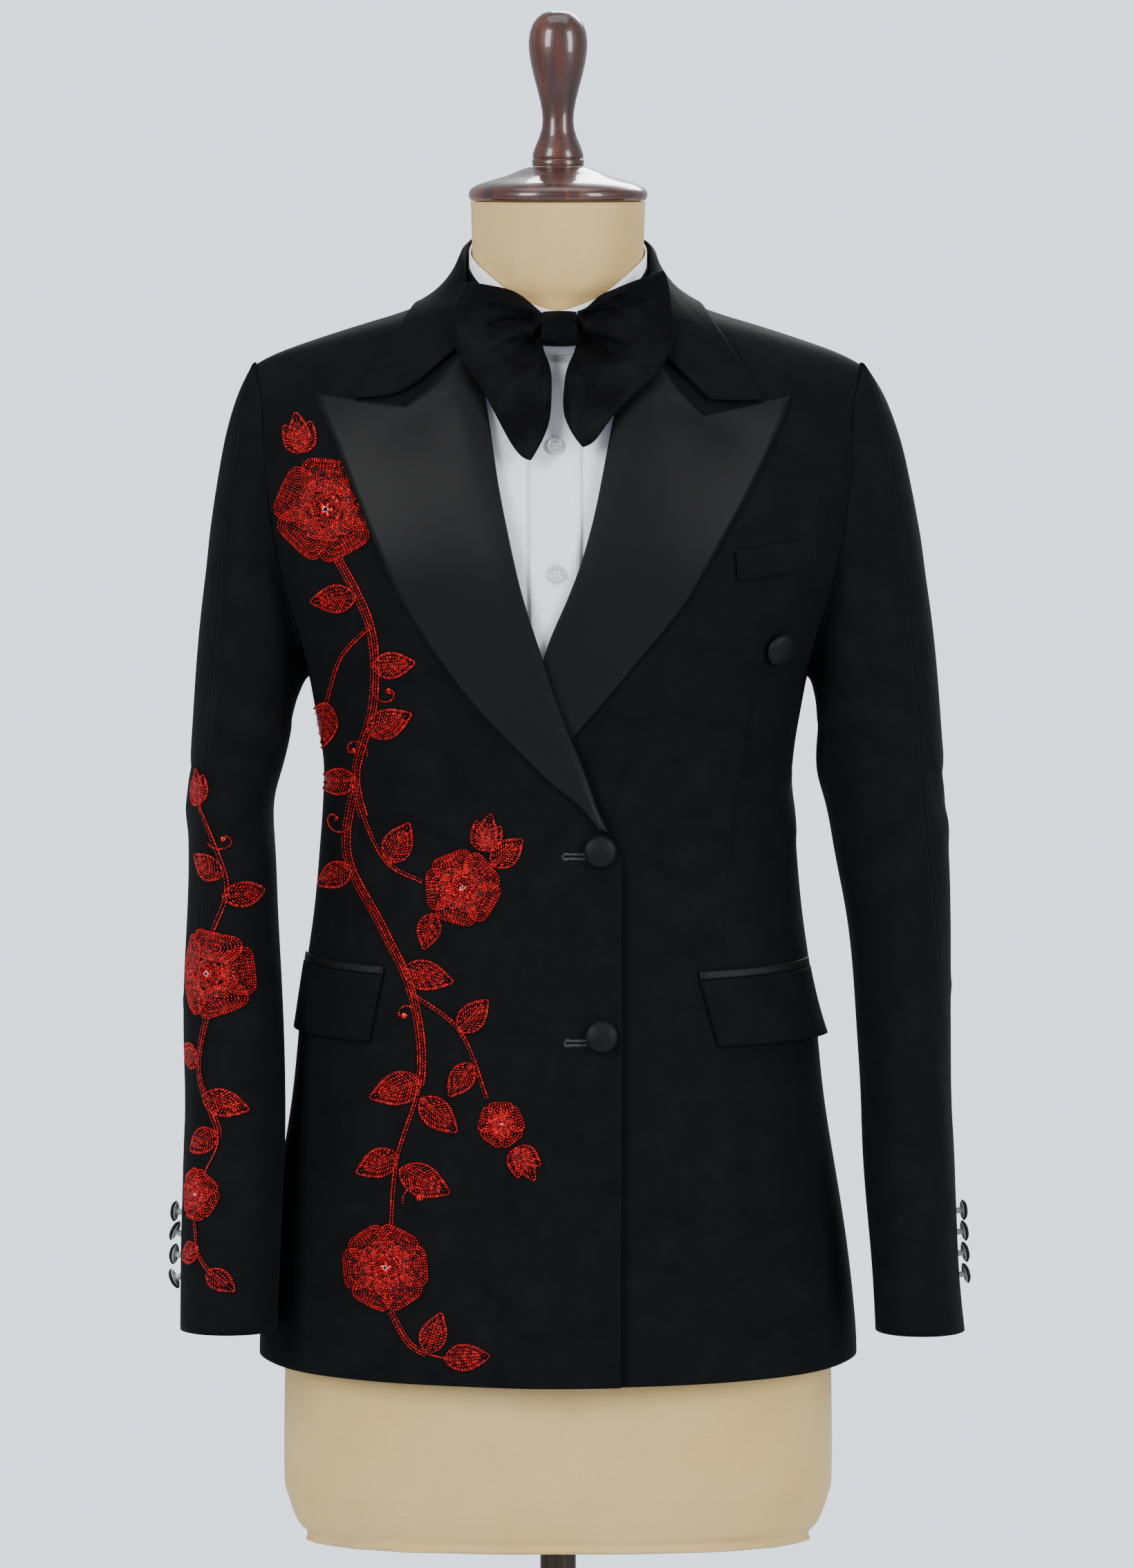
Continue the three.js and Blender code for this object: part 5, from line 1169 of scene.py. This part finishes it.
budLeaves = {"wide": 0.24, "leans": ((-26, 0.8), (26, 0.8), (0, 1.0))}


def bud(work, foot, angle, size):
    # Three narrow leaves that part from one foot.
    for lean, long in budLeaves["leans"]:
        leaf(work, foot, angle + lean, size * long, size * budLeaves["wide"])


chest = Beadwork("chest_beads", onFront("front_right", [
    "front_right", "lapel_right", "flap_right", "jet_right", "upper_sleeve_right"]))
for centre, size, turned, petals in (
        ((-156, 1346), 34, 12, 5), ((-64, 1092), 25, 40, 5), ((-116, 836), 29, 65, 6),
        ((-38, 934), 15, 20, 5)):
    blossom(chest, centre, size, turned, petals)
for rows, spots in (
        (4, [(-148, 1314), (-126, 1268), (-124, 1216), (-136, 1162), (-118, 1112), (-92, 1096)]),
        (4, [(-136, 1162), (-142, 1112), (-118, 1064), (-98, 1020), (-92, 966), (-108, 910), (-112, 866)]),
        (2, [(-98, 1020), (-66, 996), (-48, 952)]),
        (3, [(-112, 806), (-98, 784), (-76, 776)]),
        (2, [(-126, 1268), (-146, 1246), (-156, 1214)])):
    vine(chest, spots, rows)
for foot, angle, long, wide in (
        ((-136, 1288), 188, 30, 8.5), ((-124, 1240), 8, 28, 8), ((-156, 1214), 262, 32, 9),
        ((-128, 1196), 24, 32, 9), ((-136, 1164), 196, 28, 8), ((-114, 1108), 62, 30, 9),
        ((-140, 1104), 214, 26, 7.5), ((-104, 1036), 348, 34, 9), ((-92, 962), 200, 36, 10),
        ((-92, 950), 318, 32, 9), ((-66, 996), 48, 28, 8), ((-58, 974), 236, 26, 7.5),
        ((-108, 912), 206, 30, 8.5), ((-106, 902), 336, 36, 10), ((-88, 780), 70, 28, 8),
        ((-76, 776), 4, 30, 8), ((-84, 1074), 256, 24, 7), ((-44, 1108), 40, 26, 8)):
    leaf(chest, foot, angle, long, wide)
for foot, angle, size in (((-172, 1384), 100, 26), ((-50, 1118), 78, 24), ((-28, 918), 300, 24)):
    bud(chest, foot, angle, size)
for foot, angle, size, hand in (
        ((-124, 1230), 330, 12, 1), ((-140, 1130), 150, 11, -1), ((-94, 1000), 150, 11, 1),
        ((-104, 880), 20, 11, -1), ((-128, 1180), 165, 10, 1)):
    tendril(chest, foot, angle, size, hand)
chest.build()

arm = Beadwork("sleeve_beads", onSleeve("right"))
blossom(arm, (14, 1032), 29, 30, 5)
blossom(arm, (24, 884), 17, 60, 5)
vine(arm, [(10, 1060), (2, 1090), (10, 1124), (20, 1146)], 2)
vine(arm, [(14, 1004), (22, 966), (8, 926), (16, 900)], 3)
vine(arm, [(24, 866), (20, 846), (10, 832)], 2)
for foot, angle, long, wide in (((4, 1084), 172, 26, 7.5), ((4, 1098), 28, 26, 7.5), ((22, 972), 20, 26, 7.5),
                                ((18, 950), 198, 28, 8), ((9, 926), 330, 26, 7.5), ((20, 848), 340, 22, 6.5),
                                ((12, 834), 220, 20, 6)):
    leaf(arm, foot, angle, long, wide)
bud(arm, (20, 1146), 70, 24)
tendril(arm, (12, 1120), 160, 9, -1)
tendril(arm, (10, 934), 150, 9, 1)
arm.build()
print("beadwork made")


# Buttonholes, stitches and button shanks.

# Each hole has a row of bar stitches on both edges and an eye at one end.
buttonhole = {"long": 12, "half": 1.5, "stitches": 8, "eye": 2.1, "eyeBack": 12.6}
holes = Beadwork("buttonhole", onFront("front_right", ["front_right"]))
for x, z in ((18.0, 1113.5), (19.2, 988.5)):
    for side in (1, -1):
        holes.line("bar", "thread_black", [
            (x - buttonhole["long"] * (1 - i / buttonhole["stitches"]), z + side * buttonhole["half"])
            for i in range(buttonhole["stitches"] + 1)])
    holes.line("bar", "thread_black", [
        (x - buttonhole["eyeBack"] + buttonhole["eye"] * math.cos(a * math.pi / 8),
         z + buttonhole["eye"] * math.sin(a * math.pi / 8)) for a in range(3, 14)])
holes.build()

# The placket has a row of stitches near each edge, and its own buttonholes stand upright under the buttons.
placketRows = {"x": (-15.4, 12.0), "low": 1262, "pitch": 8, "count": 23}
placketHoles = {"places": ((-2, 1390), (-0.8, 1304)), "half": 0.9, "low": -9, "pitch": 2.0, "count": 10}
seams = Beadwork("shirt_stitches", onFront("shirt_placket", ["shirt_placket"]))
for x in placketRows["x"]:
    heights = [placketRows["low"] + placketRows["pitch"] * i for i in range(placketRows["count"])]
    seams.line("run", "poplin", [(x, z) for z in heights])
for x, z in placketHoles["places"]:
    heights = [z + placketHoles["low"] + placketHoles["pitch"] * i for i in range(placketHoles["count"])]
    for side in (-1, 1):
        seams.line("bar", "poplin", [(x + side * placketHoles["half"], height) for height in heights])
seams.build()

shank = {"segments": 24, "rows": [(1.2, -1.8), (2.0, -1.8), (2.0, 2.2), (2.4, 2.5), (5.6, 2.9), (6.3, 3.3),
                                  (6.2, 3.7), (1.2, 3.7)]}


def shankRing(name, node):
    # The bright shank and back plate of a cuff button.
    corners = points(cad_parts[node].data)
    middle = corners.mean(0)
    heart = [*axisAt(sleeveAxis["right" if "right" in node else "left"], middle[2] * 1000), middle[2] * 1000]
    put = discFrame(corners, middle - np.array(heart) * mm)
    place(name, turnedMesh(name, shank["rows"], shank["segments"], put, closed=True), finish["nickel"])


for hand in ("right", "left"):
    for i in (1, 2, 3, 4):
        shankRing(f"cuff_shank_{hand}_{i}", f"cuff_button_{hand}_{i}")
print("buttonholes and shanks made")


# Studio and camera.

studio = {"floor": "#d6dde7", "radius": 3.0, "drop": 0.0002, "ambient": "#dfe5ec", "ambientStrength": 0.66,
          "background": "#d2dbe9", "backgroundStrength": 2.5}


def paleFloor():
    work = bmesh.new()
    bmesh.ops.create_circle(work, cap_ends=True, segments=96, radius=studio["radius"])
    for vert in work.verts:
        vert.co.z = -studio["drop"]
    mesh = bpy.data.meshes.new("floor")
    work.to_mesh(mesh)
    work.free()
    material, tree, shader = newMaterial("floor_pale", studio["floor"], {
        "Roughness": 0.95, "Specular IOR Level": 0.1})
    mesh.materials.append(material)
    stage = bpy.data.objects.new("floor", mesh)
    bpy.context.scene.collection.objects.link(stage)


paleFloor()


def paleWorld():
    # Soft light from all sides, and a brighter plain background where the camera sees past the object.
    world = bpy.data.worlds.new("studio")
    bpy.context.scene.world = world
    world.use_nodes = True
    tree = world.node_tree
    ambient = tree.nodes["Background"]
    ambient.inputs["Color"].default_value = linearColour(studio["ambient"])
    ambient.inputs["Strength"].default_value = studio["ambientStrength"]
    seen = addNode(tree, "ShaderNodeBackground", {}, {
        "Color": linearColour(studio["background"]), "Strength": studio["backgroundStrength"]})
    rays = addNode(tree, "ShaderNodeLightPath")
    both = addNode(tree, "ShaderNodeMixShader", {}, {0: rays.outputs["Is Camera Ray"]})
    tree.links.new(ambient.outputs[0], both.inputs[1])
    tree.links.new(seen.outputs[0], both.inputs[2])
    tree.links.new(both.outputs[0], tree.nodes["World Output"].inputs["Surface"])


paleWorld()


def softbox(name, at, aim, size, power):
    light = bpy.data.lights.new(name, "AREA")
    light.shape = "RECTANGLE"
    light.size = size[0]
    light.size_y = size[1]
    light.energy = power
    holder = bpy.data.objects.new(name, light)
    holder.location = at
    holder.rotation_euler = (Vector(aim) - Vector(at)).to_track_quat("-Z", "Y").to_euler()
    bpy.context.scene.collection.objects.link(holder)


softbox("key", (-2.6, -3.0, 2.7), (0, 0, 1.15), (1.5, 2.6), 170)
softbox("fill", (2.9, -2.5, 2.2), (0, 0, 1.15), (1.2, 2.6), 130)
softbox("top", (0, -0.2, 4.2), (0, 0, 1.2), (3.0, 2.0), 35)
softbox("back", (0.9, 3.2, 3.3), (0, 0, 1.1), (2.4, 1.2), 150)

lens = {"distance": 8.0, "lift": 3.5, "aim": (0.0061, 0.0, 1.156), "frameHigh": 1.0673, "sensor": 36}
camera = bpy.data.cameras.new("camera")
camera.sensor_fit = "VERTICAL"
camera.sensor_height = lens["sensor"]
camera.lens = lens["sensor"] * lens["distance"] / lens["frameHigh"]
camera.clip_end = 100
eye = bpy.data.objects.new("camera", camera)
aim = Vector(lens["aim"])
lift = math.radians(lens["lift"])
eye.location = aim + Vector((0, -math.cos(lift), math.sin(lift))) * lens["distance"]
eye.rotation_euler = (aim - eye.location).to_track_quat("-Z", "Y").to_euler()
bpy.context.scene.collection.objects.link(eye)
bpy.context.scene.camera = eye

for name, flat, measured, share in cuts:
    print("cut", name, flat, "measured share", measured, "stated", share)
print("studio and camera made")
